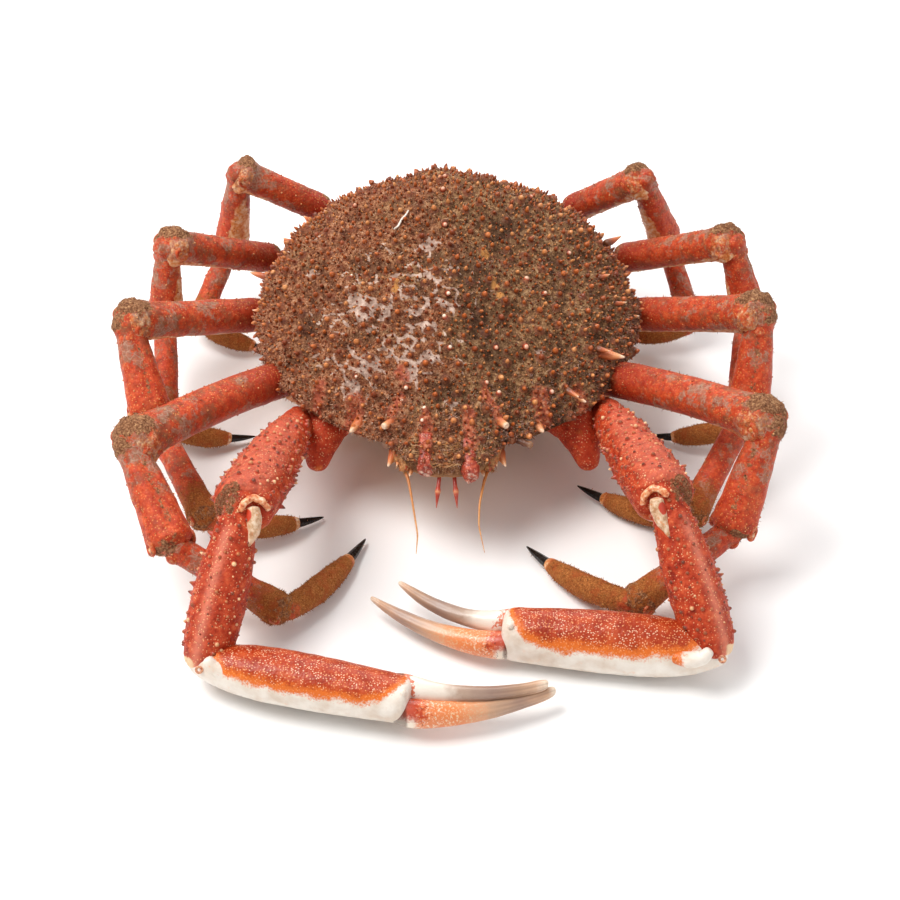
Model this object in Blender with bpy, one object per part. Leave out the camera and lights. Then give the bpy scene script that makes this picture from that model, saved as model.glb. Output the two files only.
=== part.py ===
"""Spider crab, cooked whole, resting on its belly with its legs and claws folded in front of it.

The crab faces -Y and the floor is z = 0.  The origin is on the flat of the belly, under the
widest line of the shell.  All sizes are in millimetres and become metres as a mesh is made.
The animal is one piece, so its shell, limbs, spines and feelers are fused into one closed solid.
"""
import math

import bmesh
import bpy
from mathutils import Vector, noise

MM = 0.001

# --- Shell -------------------------------------------------------------------------------------
SHELL_HALF_WIDTH = 71.0
SHELL_FRONT = -83.0
SHELL_REAR = 68.0
SHELL_EDGE_HEIGHT = 37.0
DOME_RISE = 40.0
DOME_PEAK_Y = 20.0
FRONT_SLOPE_POWER = 1.83
REAR_SLOPE_POWER = 2.35
UPPER_ROUNDNESS = 1.8
LOWER_ROUNDNESS = 1.3
BELLY_FLOOR_GAP = 1.5
# How far the widest line lies behind the middle, and how much deeper the keel is than the edge is high.
WIDEST_SHIFT = 2.0
KEEL_EXTRA = 3.0
FRONT_KEEL_POWER = 1.7
REAR_KEEL_POWER = 4.0
SHELL_RINGS = 26
SHELL_RING_SIDES = 44
WART_RELIEF = 2.2
WART_PITCH = 4.1
WARTS_BELOW_EDGE = 1.0
# Swollen regions of the shell: x, y, radius and rise of each; those off the middle are mirrored.
SHELL_REGIONS = (
    (0, -36, 19, 3.0),
    (0, 14, 13, 2.5),
    (0, 46, 12, 1.5),
    (36, 8, 25, 3.0),
    (38, -46, 12, 1.5),
)

# Front of the shell between the eyes: y, half width, top and bottom of each section.
SNOUT_SECTIONS = (
    (-58, 22, 48, 24),
    (-72, 22, 47.5, 23),
    (-80, 20, 44, 25),
    (-87, 15, 40.5, 28),
    (-91, 11, 37.5, 31),
)
SNOUT_SQUARENESS = 3.0
SNOUT_SIDES = 16
SNOUT_GROOVE = 1.6
SNOUT_GROOVE_SHARE = 0.35
# Horns: both are broken off short, the one at -X more so.
HORN_ROOT = (7.2, -82, 38)
HORN_TIPS = {-1: (7.4, -92.5, 35.5), 1: (8.5, -95.5, 34.8)}
HORN_RADII = (5.6, 3.4)

# --- Spines: tip x, y, z, length and root radius ---------------------------------------------
SPINE_CORE = (0, -12, 40)
FRONT_SPINES = (
    (21.5, -79, 45, 8, 3.6),
    (34, -76.5, 39, 9, 4.6),
    (20.5, -88, 33, 9, 3.2),
    (13, -91, 31, 9, 3.0),
)
RIGHT_SPINES = (
    (48, -64.5, 42, 9, 3.2),
    (46, -66, 48, 6, 2.2),
    (63, -41, 43, 12, 3.0),
    (72, -13, 43, 7, 2.6),
    (66, 24, 54, 6, 2.4),
)
LEFT_SPINES = (
    (56.5, 44, 50, 5, 2.2),
    (64, 33, 47, 5, 2.2),
    (76.5, 18.5, 41, 10, 3.0),
    (73.5, -6.5, 41, 7, 2.6),
    (70.5, -17, 41, 6, 2.6),
    (64, -33, 41, 6, 2.6),
)
SPINE_TIP_RADIUS = 0.7
SPINE_UP = (0, 0.3, 1)
# Blunt knobs on the dome: x, y, height and root radius.  They lean away from a point deep in the shell.
KNOB_CORE_HEIGHT = 17.0
KNOB_LEAN = 0.5
KNOB_SINK = 2.0
KNOB_TIP_SHARE = 0.35
KNOBS = (
    (0, -33.5, 3.2, 2.6),
    (0, -43, 3.2, 2.6),
    (0, -52, 3.0, 2.6),
    (-14, -62, 3.6, 3.4),
    (-15, -70, 3.4, 3.0),
    (18, -66, 3.0, 2.6),
    (-17, -28, 2.6, 3.0),
    (17, -27, 2.6, 2.6),
    (0, 12, 2.6, 2.4),
    (0, 24, 2.6, 2.4),
    (-40, -2, 2.4, 2.6),
    (-28, 14, 2.4, 2.6),
    (42, -4, 2.4, 2.4),
    (30, 22, 2.4, 2.4),
    (-9, 68, 5.0, 2.8),
    (9, 68, 5.0, 2.8),
)

# --- Walking legs, front pair first --------------------------------------------------------------
# Lengths of merus, carpus, propodus and dactyl.
LEG_LENGTHS = ((76, 39, 43, 52), (62, 34, 48.5, 45), (55, 29, 49.5, 34), (38, 34, 37.5, 33))
LEG_SIZES = (1.0, 0.96, 0.88, 0.85)
LEG_RADII = (7.6, 7.6, 5.8, 4.5)
# The merus of the front pair arches up by this much; the others are straight.
MERUS_ARCHES = (2.0, 0.0, 0.0, 0.0)
HIP_SHARE = 1.15
CLAW_LENGTH = 13.0
CLAW_RADIUS = 2.6
# The dactyl and its claw bow forwards by this share of their length.
DACTYL_BOW = 0.095
# Where each leg comes out from under the shell, and where it is rooted beside the breastplate.
LEG_STARTS = ((60, -38, 33), (71, 3, 32), (70, 41, 32), (50, 61, 42))
LEG_ROOTS = ((36, -30, 17), (40, -2, 17), (38, 24, 17), (30, 44, 22))
# Heading (0 straight out, -90 straight ahead) and lift of each article, in degrees.
LEG_POSES = {
    -1: (
        ((-50, 12), (-118, -30), (-164, -28), (121, -8)),
        ((-39, 22), (-111, -46), (-120, -20), (158, -17)),
        ((-42, 30), (-41, -82), (-94, -25), (173, -13)),
        ((-9, 32), (23, -80), (-68, -30), (-165, -14)),
    ),
    1: (
        ((-47, 17), (-123, -57), (-146, -17), (134, -9)),
        ((-41, 26), (-101, -61), (-123, -28), (150, -5)),
        ((-38, 30), (-31, -71), (-99, -27), (174, -13)),
        ((-30, 38), (30, -67), (-70, -38), (173, -15)),
    ),
}
LEG_SIDES = 10
CLAW_SIDES = 6

# --- Chelipeds, the pair of limbs that bear the pincers --------------------------------------------
CHELIPED_LENGTHS = (71, 52, 69)
CHELIPED_STARTS = {-1: (47, -64, 32), 1: (53, -57, 31)}
CHELIPED_POSES = {
    -1: ((-73, 15), (-68, -50), (-166, 0)),
    1: ((-73.5, 14), (-65, -45), (172, -1)),
}
CHELIPED_RADII = (10.0, 8.8, 10.0)
# Roll of the oval palm: share of the radius across it and up it, as it leans back by PALM_LEAN.
PALM_OVALS = {-1: (1.12, 0.94), 1: (0.94, 1.08)}
PALM_LEAN = (0, 0.64, 0.77)
ISCHIUM_PATHS = {
    -1: ((31, -38, 20), (39, -50, 26), (44, -58.5, 25), (47.5, -67.5, 18.5), (49, -71, 13.5)),
    1: ((33, -38, 20), (42, -50, 26), (46.5, -58.5, 25), (52, -66, 18.5), (54.5, -69.5, 13.5)),
}
ISCHIUM_RADII = (8.5, 9, 7.4, 3.8, 2.6)
# Fingers: how far beside the end of the palm each is rooted, and its tip.
FINGER_SPREAD = (0, 3.9, 1.6)
FIXED_TIPS = {-1: (-33, -170.5, 11), 1: (-16.5, -122, 10)}
MOVING_TIPS = {-1: (-35.5, -170, 7.5), 1: (-26, -127, 7.5)}
FIXED_RADII = (3.4, 3.7, 3.1, 2.7, 1.9, 0.7)
MOVING_RADII = (3.6, 4.2, 3.6, 2.8, 1.9, 0.7)
FINGER_SHARES = (-0.14, 0.0, 0.25, 0.55, 0.82, 1.0)
FINGER_BOWS = {-1: (0, -3.5, -0.4), 1: (0, -4.5, -0.8)}
CHELIPED_SIDES = 12
FINGER_SIDES = 10

# --- Feelers and eyes ----------------------------------------------------------------------------
ANTENNA_PATHS = {
    -1: ((16, -84, 31.5), (13.5, -91, 30), (12, -99, 27), (10, -110, 21), (10.5, -115, 16.5)),
    1: ((15.5, -83, 31.5), (13, -92, 30), (11.3, -100, 26.5), (11, -107, 22.5), (13, -115, 17)),
}
ANTENNA_RADII = (1.5, 1.0, 0.8, 0.65, 0.45)
ANTENNULE_PATH = ((2.2, -87, 33), (2.7, -92.5, 30), (3.1, -95, 28), (3.6, -99.5, 24.5))
ANTENNULE_RADII = (1.4, 1.3, 1.8, 0.5)
EYE_PATHS = {
    -1: ((15, -73, 38), (19, -76.5, 36.5), (22, -79.5, 35.5)),
    1: ((15, -73, 38), (24, -77, 37.5), (29.5, -80.5, 36.5)),
}
EYE_RADII = (2.0, 1.8, 2.6)
FEELER_SIDES = 6

# --- Underside -----------------------------------------------------------------------------------
# Mouth cover: a pair of flat plates under the snout, with the y and z of their ends.
MOUTH_X = 7.2
MOUTH_FRONT = (-64, 17.5)
MOUTH_REAR = (-34, 5.5)
MOUTH_HALF_WIDTH = 6.4
MOUTH_THICKNESS = 4.0
MOUTH_PROFILE = ((0.0, 0.45), (0.08, 0.85), (0.35, 1.0), (0.65, 1.0), (0.92, 0.85), (1.0, 0.45))
MOUTH_SIDES = 8
# Tail, curled from the shell's rear edge and folded flat under the body: y and z where each segment
# ends, its half width, and its slope in degrees.  Where it is flat it is what the crab rests on.
TAIL_SEGMENTS = (
    (64.5, 29, 10, 68),
    (60, 17.5, 12, 60),
    (52.5, 7.5, 14.5, 45),
    (42, 1.2, 17, 15),
    (31, 0, 18.5, 0),
    (19, 0, 19, 0),
    (6, 0, 18.5, 0),
    (-8, 0, 16, 0),
    (-24, 0, 8, 0),
)
# Section of a segment, as shares of its half width and thickness.
TAIL_SECTION = ((-1, 0.6), (-0.9, 0.0), (0.9, 0.0), (1, 0.6), (0.9, 1.0), (-0.9, 1.0))
TAIL_THICKNESS = 4.5
# Groove between two segments: distance along the tail and depth at each of its edges.
TAIL_GROOVE = ((-1.2, 0.0), (-0.4, 0.8), (0.4, 0.8), (1.2, 0.0))

SHELL_COLOUR = (0.34, 0.13, 0.07, 1.0)
SHELL_ROUGHNESS = 0.6
# Edges sharper than this, in degrees, are shaded as creases.
CREASE_ANGLE = 40
# Distances in metres under which points of the fused skin are one point, and edges are dropped.
MERGE_DISTANCE = 0.00002
SHORTEST_EDGE = 0.00001


def clear_scene():
    for item in list(bpy.data.objects):
        bpy.data.objects.remove(item, do_unlink=True)


def make_material(name, colour, roughness):
    material = bpy.data.materials.new(name)
    material.use_nodes = True
    shader = material.node_tree.nodes["Principled BSDF"]
    shader.inputs["Base Color"].default_value = colour
    shader.inputs["Roughness"].default_value = roughness
    shader.inputs["Metallic"].default_value = 0.0
    return material


def add_piece(name, points, faces, collection):
    """Make a closed mesh from points in millimetres, with its faces pointing outwards."""
    mesh = bpy.data.meshes.new(name)
    mesh.from_pydata([Vector(point) * MM for point in points], [], faces)
    shape = bmesh.new()
    shape.from_mesh(mesh)
    bmesh.ops.recalc_face_normals(shape, faces=shape.faces)
    shape.to_mesh(mesh)
    shape.free()
    piece = bpy.data.objects.new(name, mesh)
    collection.objects.link(piece)
    return piece


def on_side(point, side):
    """A point given for +X, moved to the side asked for: -1 or 1."""
    return Vector((side * point[0], point[1], point[2]))


def loft(name, rings, collection):
    """Join rings of equally many points into a closed tube; a ring of one point is a pointed end."""
    points = [point for ring in rings for point in ring]
    sides = max(len(ring) for ring in rings)
    faces = []
    start = 0
    for near, far in zip(rings, rings[1:]):
        after = start + len(near)
        for i in range(sides):
            j = (i + 1) % sides
            if len(near) == 1:
                faces.append((start, after + j, after + i))
            elif len(far) == 1:
                faces.append((start + i, start + j, after))
            else:
                faces.append((start + i, start + j, after + j, after + i))
        start = after
    if len(rings[0]) > 1:
        faces.append(tuple(reversed(range(sides))))
    if len(rings[-1]) > 1:
        faces.append(tuple(range(start, start + sides)))
    return add_piece(name, points, faces, collection)


def oval_ring(centre, along, up, half_width, half_height, sides):
    """Points of an oval that faces along, with its height as near to up as it can be."""
    along = Vector(along).normalized()
    across = along.cross(Vector(up)).normalized()
    rise = across.cross(along)
    ring = []
    for i in range(sides):
        angle = 2 * math.pi * i / sides
        offset = across * half_width * math.cos(angle) + rise * half_height * math.sin(angle)
        ring.append(Vector(centre) + offset)
    return ring


def tube(name, path, widths, heights, up, sides, collection):
    """A closed limb-like shape with an oval section that changes along a path of points."""
    path = [Vector(point) for point in path]
    rings = []
    for i, centre in enumerate(path):
        before = path[max(i - 1, 0)]
        after = path[min(i + 1, len(path) - 1)]
        rings.append(oval_ring(centre, after - before, up, widths[i], heights[i], sides))
    return loft(name, rings, collection)


def spike(name, root, tip, root_radius, tip_radius, collection, sides=6):
    """A blunt cone."""
    root = Vector(root)
    tip = Vector(tip)
    rings = [
        oval_ring(root, tip - root, SPINE_UP, root_radius, root_radius, sides),
        oval_ring(tip, tip - root, SPINE_UP, tip_radius, tip_radius, sides),
    ]
    return loft(name, rings, collection)


def heading_vector(side, heading, lift):
    """Unit vector of a limb article: side is -1 or 1, heading 0 points straight out."""
    heading = math.radians(heading)
    lift = math.radians(lift)
    level = math.cos(lift)
    return Vector((side * math.cos(heading) * level, math.sin(heading) * level, math.sin(lift)))


def chain_points(start, lengths, poses, side):
    """Joint positions of a limb from its start, article lengths and directions."""
    joints = [Vector(start)]
    for length, (heading, lift) in zip(lengths, poses):
        joints.append(joints[-1] + heading_vector(side, heading, lift) * length)
    return joints


# --- Shell ------------------------------------------------------------------------------------------
def plan_half_width(y):
    """Half width of the shell's outline at y, an egg made of two half ellipses."""
    middle = (SHELL_FRONT + SHELL_REAR) / 2 + WIDEST_SHIFT
    reach = (middle - SHELL_FRONT) if y < middle else (SHELL_REAR - middle)
    return SHELL_HALF_WIDTH * math.sqrt(max(0.0, 1 - ((y - middle) / reach) ** 2))


def dome_rise(y):
    """Height of the dome over the shell's edge, along its middle line."""
    if y < DOME_PEAK_Y:
        share = (DOME_PEAK_Y - y) / (DOME_PEAK_Y - SHELL_FRONT)
        return DOME_RISE * (1 - min(share, 1.0) ** FRONT_SLOPE_POWER)
    share = (y - DOME_PEAK_Y) / (SHELL_REAR - DOME_PEAK_Y)
    return DOME_RISE * (1 - min(share, 1.0) ** REAR_SLOPE_POWER)


def belly_depth(y):
    """Depth of the body below the shell's edge, along its middle line."""
    middle = (SHELL_FRONT + SHELL_REAR) / 2
    share = min(abs(y - middle) / (SHELL_REAR - middle), 1.0)
    power = FRONT_KEEL_POWER if y < middle else REAR_KEEL_POWER
    return (SHELL_EDGE_HEIGHT + KEEL_EXTRA) * (1 - share**power)


def region_rise(x, y):
    """Swelling of the shell's regions, with shallow grooves left between them."""
    rise = 0.0
    for centre_x, centre_y, radius, height in SHELL_REGIONS:
        distance = math.hypot(abs(x) - centre_x, y - centre_y)
        rise += height * math.exp(-((distance / radius) ** 2))
    return rise


def dome_height(x, y):
    """z of the upper face of the shell at x, y."""
    half_width = max(plan_half_width(y), 0.01)
    share = min(abs(x) / half_width, 1.0)
    arch = (1 - share**UPPER_ROUNDNESS) ** (1 / UPPER_ROUNDNESS)
    return SHELL_EDGE_HEIGHT + dome_rise(y) * arch + region_rise(x, y) * arch


def shell_ring(y):
    """Closed section of the body across y: a low arch above the edge, a keeled trough below it."""
    half_width = plan_half_width(y)
    depth = belly_depth(y)
    ring = []
    for i in range(SHELL_RING_SIDES):
        angle = 2 * math.pi * i / SHELL_RING_SIDES
        side = math.copysign(1, math.cos(angle))
        if math.sin(angle) >= 0:
            x = half_width * side * abs(math.cos(angle)) ** (2 / UPPER_ROUNDNESS)
            z = dome_height(x, y)
        else:
            x = half_width * side * abs(math.cos(angle)) ** (2 / LOWER_ROUNDNESS)
            drop = depth * abs(math.sin(angle)) ** (2 / LOWER_ROUNDNESS)
            z = max(SHELL_EDGE_HEIGHT - drop, BELLY_FLOOR_GAP)
        ring.append(Vector((x, y, z)))
    return ring


def roughen(ring, y):
    """Push a section's points in and out, so that the upper face looks warty."""
    core = Vector((0.0, y, SHELL_EDGE_HEIGHT))
    rough = []
    for point in ring:
        above = point.z > SHELL_EDGE_HEIGHT - WARTS_BELOW_EDGE
        push = WART_RELIEF * noise.noise(point / WART_PITCH) if above else 0.0
        rough.append(point + (point - core).normalized() * push)
    return rough


def make_shell(collection):
    middle = (SHELL_FRONT + SHELL_REAR) / 2
    reach = (SHELL_REAR - SHELL_FRONT) / 2
    rings = [[Vector((0, SHELL_FRONT, SHELL_EDGE_HEIGHT))]]
    for i in range(1, SHELL_RINGS):
        y = middle - reach * math.cos(math.pi * i / SHELL_RINGS)
        rings.append(roughen(shell_ring(y), y))
    rings.append([Vector((0, SHELL_REAR, SHELL_EDGE_HEIGHT))])
    return loft("crab", rings, collection)


def make_snout(collection):
    rings = []
    for y, half_width, top, bottom in SNOUT_SECTIONS:
        centre = (top + bottom) / 2
        reach = (top - bottom) / 2
        ring = []
        for i in range(SNOUT_SIDES):
            angle = 2 * math.pi * (i + 0.5) / SNOUT_SIDES
            x = math.copysign(half_width * abs(math.cos(angle)) ** (2 / SNOUT_SQUARENESS), math.cos(angle))
            z = math.copysign(reach * abs(math.sin(angle)) ** (2 / SNOUT_SQUARENESS), math.sin(angle))
            groove = SNOUT_GROOVE if z > 0 and abs(x) < half_width * SNOUT_GROOVE_SHARE else 0.0
            ring.append(Vector((x, y, centre + z - groove)))
        rings.append(ring)
    loft("snout", rings, collection)
    for side in (-1, 1):
        root = on_side(HORN_ROOT, side)
        tip = on_side(HORN_TIPS[side], side)
        spike("horn", root, tip, HORN_RADII[0], HORN_RADII[1], collection, sides=8)


def outward_spine(side, x, y, z, length, radius, collection):
    """A spine on the shell's margin, aimed away from the middle of the shell."""
    tip = on_side((x, y, z), side)
    aim = (tip - Vector(SPINE_CORE)).normalized()
    spike("spine", tip - aim * (length + radius), tip, radius, SPINE_TIP_RADIUS, collection)


def make_spines(collection):
    for side in (-1, 1):
        for spine in FRONT_SPINES:
            outward_spine(side, *spine, collection)
    for spine in RIGHT_SPINES:
        outward_spine(1, *spine, collection)
    for spine in LEFT_SPINES:
        outward_spine(-1, *spine, collection)
    for x, y, height, radius in KNOBS:
        foot = Vector((x, y, dome_height(x, y)))
        aim = (foot - Vector((0, y * KNOB_LEAN, KNOB_CORE_HEIGHT))).normalized()
        tip_radius = radius * KNOB_TIP_SHARE
        spike("knob", foot - aim * KNOB_SINK, foot + aim * height, radius, tip_radius, collection)


# --- Limbs ------------------------------------------------------------------------------------------
NO_BOW = (0, 0, 0)
LIMB_OVAL = (1.0, 0.96)
LIMB_UP = (0.05, 0.1, 1)
# Profiles: pairs of share of the article's length and share of its radius.
HIP = ((0.0, 0.85), (0.35, 1.0), (0.75, 0.95), (1.0, 0.8))
MERUS = ((-0.04, 0.72), (0.05, 0.95), (0.5, 0.95), (0.85, 1.0), (0.93, 1.14), (1.02, 1.08), (1.06, 0.7))
CARPUS = ((-0.06, 0.6), (0.08, 0.76), (0.4, 0.88), (0.75, 1.0), (0.95, 1.03), (1.06, 0.75))
PROPODUS = ((-0.06, 0.7), (0.05, 0.95), (0.45, 0.95), (0.85, 0.95), (0.96, 1.15), (1.07, 0.8))
DACTYL = ((-0.06, 0.8), (0.06, 1.0), (0.3, 1.08), (0.55, 1.0), (0.74, 0.72))
# The claw's own profile runs from its root, at 0, to its tip.
CLAW = ((-0.3, 0.7), (0.0, 1.0), (0.55, 0.66), (1.0, 0.16))
CHELIPED_MERUS = (
    (-0.12, 0.7),
    (0.0, 0.95),
    (0.3, 1.02),
    (0.62, 1.0),
    (0.88, 0.95),
    (0.98, 0.9),
    (1.04, 0.6),
)
CHELIPED_CARPUS = (
    (-0.12, 0.7),
    (0.0, 0.95),
    (0.3, 0.97),
    (0.6, 1.03),
    (0.85, 1.06),
    (0.97, 0.95),
    (1.08, 0.6),
)
PALM = (
    (-0.07, 0.3),
    (-0.02, 0.5),
    (0.07, 0.74),
    (0.2, 0.93),
    (0.38, 1.0),
    (0.6, 0.97),
    (0.85, 0.86),
    (1.0, 0.78),
    (1.02, 0.6),
)


def article(name, ends, radius, profile, sides, collection, bow=NO_BOW, oval=LIMB_OVAL, up=LIMB_UP):
    """One article between two joints; profile gives (share of the length, share of the radius)."""
    start, end = ends
    path = []
    widths = []
    for share, size in profile:
        path.append(start.lerp(end, share) + Vector(bow) * 4 * share * (1 - share))
        widths.append(radius * size)
    heights = [width * oval[1] for width in widths]
    widths = [width * oval[0] for width in widths]
    return tube(name, path, widths, heights, up, sides, collection)


def make_leg(side, number, collection):
    size = LEG_SIZES[number]
    hip = on_side(LEG_ROOTS[number], side)
    start = on_side(LEG_STARTS[number], side)
    start, knee, ankle, knuckle, tip = chain_points(start, LEG_LENGTHS[number], LEG_POSES[side][number], side)
    merus, carpus, propodus, dactyl = (radius * size for radius in LEG_RADII)
    arch = (0, 0, MERUS_ARCHES[number])
    article("hip", (hip, start), merus * HIP_SHARE, HIP, LEG_SIDES, collection)
    article("merus", (start, knee), merus, MERUS, LEG_SIDES, collection, arch)
    article("carpus", (knee, ankle), carpus, CARPUS, LEG_SIDES, collection)
    article("propodus", (ankle, knuckle), propodus, PROPODUS, LEG_SIDES, collection)
    length = (tip - knuckle).length
    bow = (0, -DACTYL_BOW * length, 0)
    article("dactyl", (knuckle, tip), dactyl, DACTYL, LEG_SIDES, collection, bow)
    root = 1 - CLAW_LENGTH * size / length
    profile = [(root + (1 - root) * share, radius) for share, radius in CLAW]
    article("claw", (knuckle, tip), CLAW_RADIUS * size, profile, CLAW_SIDES, collection, bow)


def make_finger(root, tip, bow, radii, collection):
    """One finger of a pincer, bowed to the front between its root and its tip."""
    path = []
    for share in FINGER_SHARES:
        path.append(root.lerp(tip, share) + Vector(bow) * 4 * share * (1 - share))
    tube("finger", path, radii, radii, (0, 0, 1), FINGER_SIDES, collection)


def make_cheliped(side, collection):
    start = on_side(CHELIPED_STARTS[side], side)
    shoulder, elbow, wrist, palm_end = chain_points(start, CHELIPED_LENGTHS, CHELIPED_POSES[side], side)
    merus, carpus, palm = CHELIPED_RADII
    path = [on_side(point, side) for point in ISCHIUM_PATHS[side]]
    tube("ischium", path, ISCHIUM_RADII, ISCHIUM_RADII, (0, 0.5, 1), CHELIPED_SIDES, collection)
    article("arm", (shoulder, elbow), merus, CHELIPED_MERUS, CHELIPED_SIDES, collection)
    article("forearm", (elbow, wrist), carpus, CHELIPED_CARPUS, CHELIPED_SIDES, collection)
    oval = PALM_OVALS[side]
    article("palm", (wrist, palm_end), palm, PALM, CHELIPED_SIDES, collection, oval=oval, up=PALM_LEAN)
    spread = Vector(FINGER_SPREAD)
    bow = FINGER_BOWS[side]
    make_finger(palm_end + spread, on_side(FIXED_TIPS[side], side), bow, FIXED_RADII, collection)
    make_finger(palm_end - spread, on_side(MOVING_TIPS[side], side), bow, MOVING_RADII, collection)


# --- Feelers, eyes and underside ----------------------------------------------------------------------
def make_feelers(collection):
    up = (0, 0.6, 1)
    for side in (-1, 1):
        antenna = [on_side(point, side) for point in ANTENNA_PATHS[side]]
        tube("antenna", antenna, ANTENNA_RADII, ANTENNA_RADII, up, FEELER_SIDES, collection)
        antennule = [on_side(point, side) for point in ANTENNULE_PATH]
        tube("antennule", antennule, ANTENNULE_RADII, ANTENNULE_RADII, up, FEELER_SIDES, collection)
        eye = [on_side(point, side) for point in EYE_PATHS[side]]
        tube("eye", eye, EYE_RADII, EYE_RADII, up, FEELER_SIDES, collection)


def make_mouth(collection):
    widths = [MOUTH_HALF_WIDTH * size for share, size in MOUTH_PROFILE]
    heights = [MOUTH_THICKNESS * size for share, size in MOUTH_PROFILE]
    for side in (-1, 1):
        front = Vector((side * MOUTH_X, *MOUTH_FRONT))
        rear = Vector((side * MOUTH_X, *MOUTH_REAR))
        path = [front.lerp(rear, share) for share, size in MOUTH_PROFILE]
        tube("mouth", path, widths, heights, (0, 0, 1), MOUTH_SIDES, collection)


def make_tail(collection):
    """Folded tail: a low plate with a shallow groove between its segments, flat underneath."""
    rings = []
    for i, (y, z, half_width, slope) in enumerate(TAIL_SEGMENTS):
        slope = math.radians(slope)
        along = Vector((0, -math.cos(slope), -math.sin(slope)))
        inward = Vector((0, -math.sin(slope), math.cos(slope)))
        at_end = i in (0, len(TAIL_SEGMENTS) - 1)
        steps = ((0.0, 0.0),) if at_end else TAIL_GROOVE
        for shift, depth in steps:
            ring = []
            for across, share in TAIL_SECTION:
                rise = share * TAIL_THICKNESS if share == 1.0 else share * TAIL_THICKNESS + depth
                point = Vector((across * (half_width - depth), y, z))
                ring.append(point + along * shift + inward * rise)
            rings.append(ring)
    return loft("tail", rings, collection)


# --- Fusing ------------------------------------------------------------------------------------------
def fuse(body, pieces):
    """Unite the body with every object of a collection, then drop those objects."""
    union = body.modifiers.new("fuse", "BOOLEAN")
    union.operation = "UNION"
    union.operand_type = "COLLECTION"
    union.collection = pieces
    union.solver = "EXACT"
    union.use_self = False
    bpy.context.view_layer.update()
    evaluated = body.evaluated_get(bpy.context.evaluated_depsgraph_get())
    mesh = bpy.data.meshes.new_from_object(evaluated)
    body.modifiers.clear()
    body.data = mesh
    for item in list(pieces.objects):
        bpy.data.objects.remove(item, do_unlink=True)
    bpy.data.collections.remove(pieces)


def keep_outer_skin(body):
    """Keep the largest connected surface, so that sealed hollows are filled and scraps dropped."""
    shape = bmesh.new()
    shape.from_mesh(body.data)
    bmesh.ops.remove_doubles(shape, verts=shape.verts, dist=MERGE_DISTANCE)
    bmesh.ops.dissolve_degenerate(shape, edges=shape.edges, dist=SHORTEST_EDGE)
    bmesh.ops.triangulate(shape, faces=shape.faces)
    unseen = set(shape.verts)
    skins = []
    while unseen:
        front = [unseen.pop()]
        skin = set(front)
        while front:
            vertex = front.pop()
            for edge in vertex.link_edges:
                other = edge.other_vert(vertex)
                if other in unseen:
                    unseen.remove(other)
                    skin.add(other)
                    front.append(other)
        skins.append(skin)
    skins.sort(key=len)
    for skin in skins[:-1]:
        bmesh.ops.delete(shape, geom=list(skin), context="VERTS")
    shape.to_mesh(body.data)
    shape.free()


def make_crab():
    scene_root = bpy.context.scene.collection
    pieces = bpy.data.collections.new("limbs and spines")
    scene_root.children.link(pieces)
    body = make_shell(scene_root)
    make_snout(pieces)
    make_spines(pieces)
    for side in (-1, 1):
        for number in range(len(LEG_LENGTHS)):
            make_leg(side, number, pieces)
        make_cheliped(side, pieces)
    make_feelers(pieces)
    make_mouth(pieces)
    make_tail(pieces)
    fuse(body, pieces)
    keep_outer_skin(body)
    body.data.materials.clear()
    body.data.materials.append(make_material("crab shell", SHELL_COLOUR, SHELL_ROUGHNESS))
    body.data.shade_smooth()
    body.data.set_sharp_from_angle(angle=math.radians(CREASE_ANGLE))
    return body


clear_scene()
make_crab()
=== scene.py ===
"""The looks of a cooked spider crab, dressed over its one-piece solid.

The crab faces -Y on a floor at z = 0.  Sizes are in millimetres and become metres as a mesh is made.
"""
import math

import bpy
import numpy as np
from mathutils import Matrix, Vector, kdtree, noise


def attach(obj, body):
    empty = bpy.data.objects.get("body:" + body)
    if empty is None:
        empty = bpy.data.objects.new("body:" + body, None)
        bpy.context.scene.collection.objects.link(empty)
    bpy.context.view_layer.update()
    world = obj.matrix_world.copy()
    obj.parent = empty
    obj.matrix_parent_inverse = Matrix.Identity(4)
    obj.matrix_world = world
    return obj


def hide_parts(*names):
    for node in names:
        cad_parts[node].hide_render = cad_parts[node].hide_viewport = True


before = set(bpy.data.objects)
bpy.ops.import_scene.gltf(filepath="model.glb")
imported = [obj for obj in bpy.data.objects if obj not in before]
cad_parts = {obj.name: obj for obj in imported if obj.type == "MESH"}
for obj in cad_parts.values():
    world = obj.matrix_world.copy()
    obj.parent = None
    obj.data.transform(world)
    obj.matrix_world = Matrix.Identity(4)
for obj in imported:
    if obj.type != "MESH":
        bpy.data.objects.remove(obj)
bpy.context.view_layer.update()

# --- Camera, light and floor ---
# The crab is seen from in front and 40 degrees above, through a long lens.  A large soft light
# stands at its upper left and a weaker one at its right, over a plain near-white paper floor.
CAMERA_PLACE = (0.0011, -0.61776, 0.48509)
CAMERA_TILT = 50
LENS = 80
SENSOR = 36
VIEW_END = 20
FLOOR_SIZE = 6.0
FLOOR_DROP = 0.0004
LIGHT_AIM = (0, -0.05, 0.03)
# Each light's place, size, power and colour.
LIGHTS = {
    "key": ((-0.6, -0.1, 1.1), 0.7, 16.0, (1.0, 0.985, 0.96)),
    "fill": ((0.9, -0.6, 0.75), 1.2, 3.5, (0.97, 0.985, 1.0)),
    "back": ((0.2, 1.0, 0.9), 1.0, 9.0, (1.0, 1.0, 1.0)),
}
WORLD_LIGHT = 0.46

bpy.ops.object.select_all(action="DESELECT")
bpy.ops.object.camera_add(location=CAMERA_PLACE, rotation=(math.radians(CAMERA_TILT), 0, 0))
camera = bpy.context.object
camera.name = "camera"
camera.data.lens = LENS
camera.data.sensor_width = SENSOR
camera.data.clip_end = VIEW_END
bpy.context.scene.camera = camera
bpy.context.scene.view_settings.view_transform = "Standard"

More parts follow.
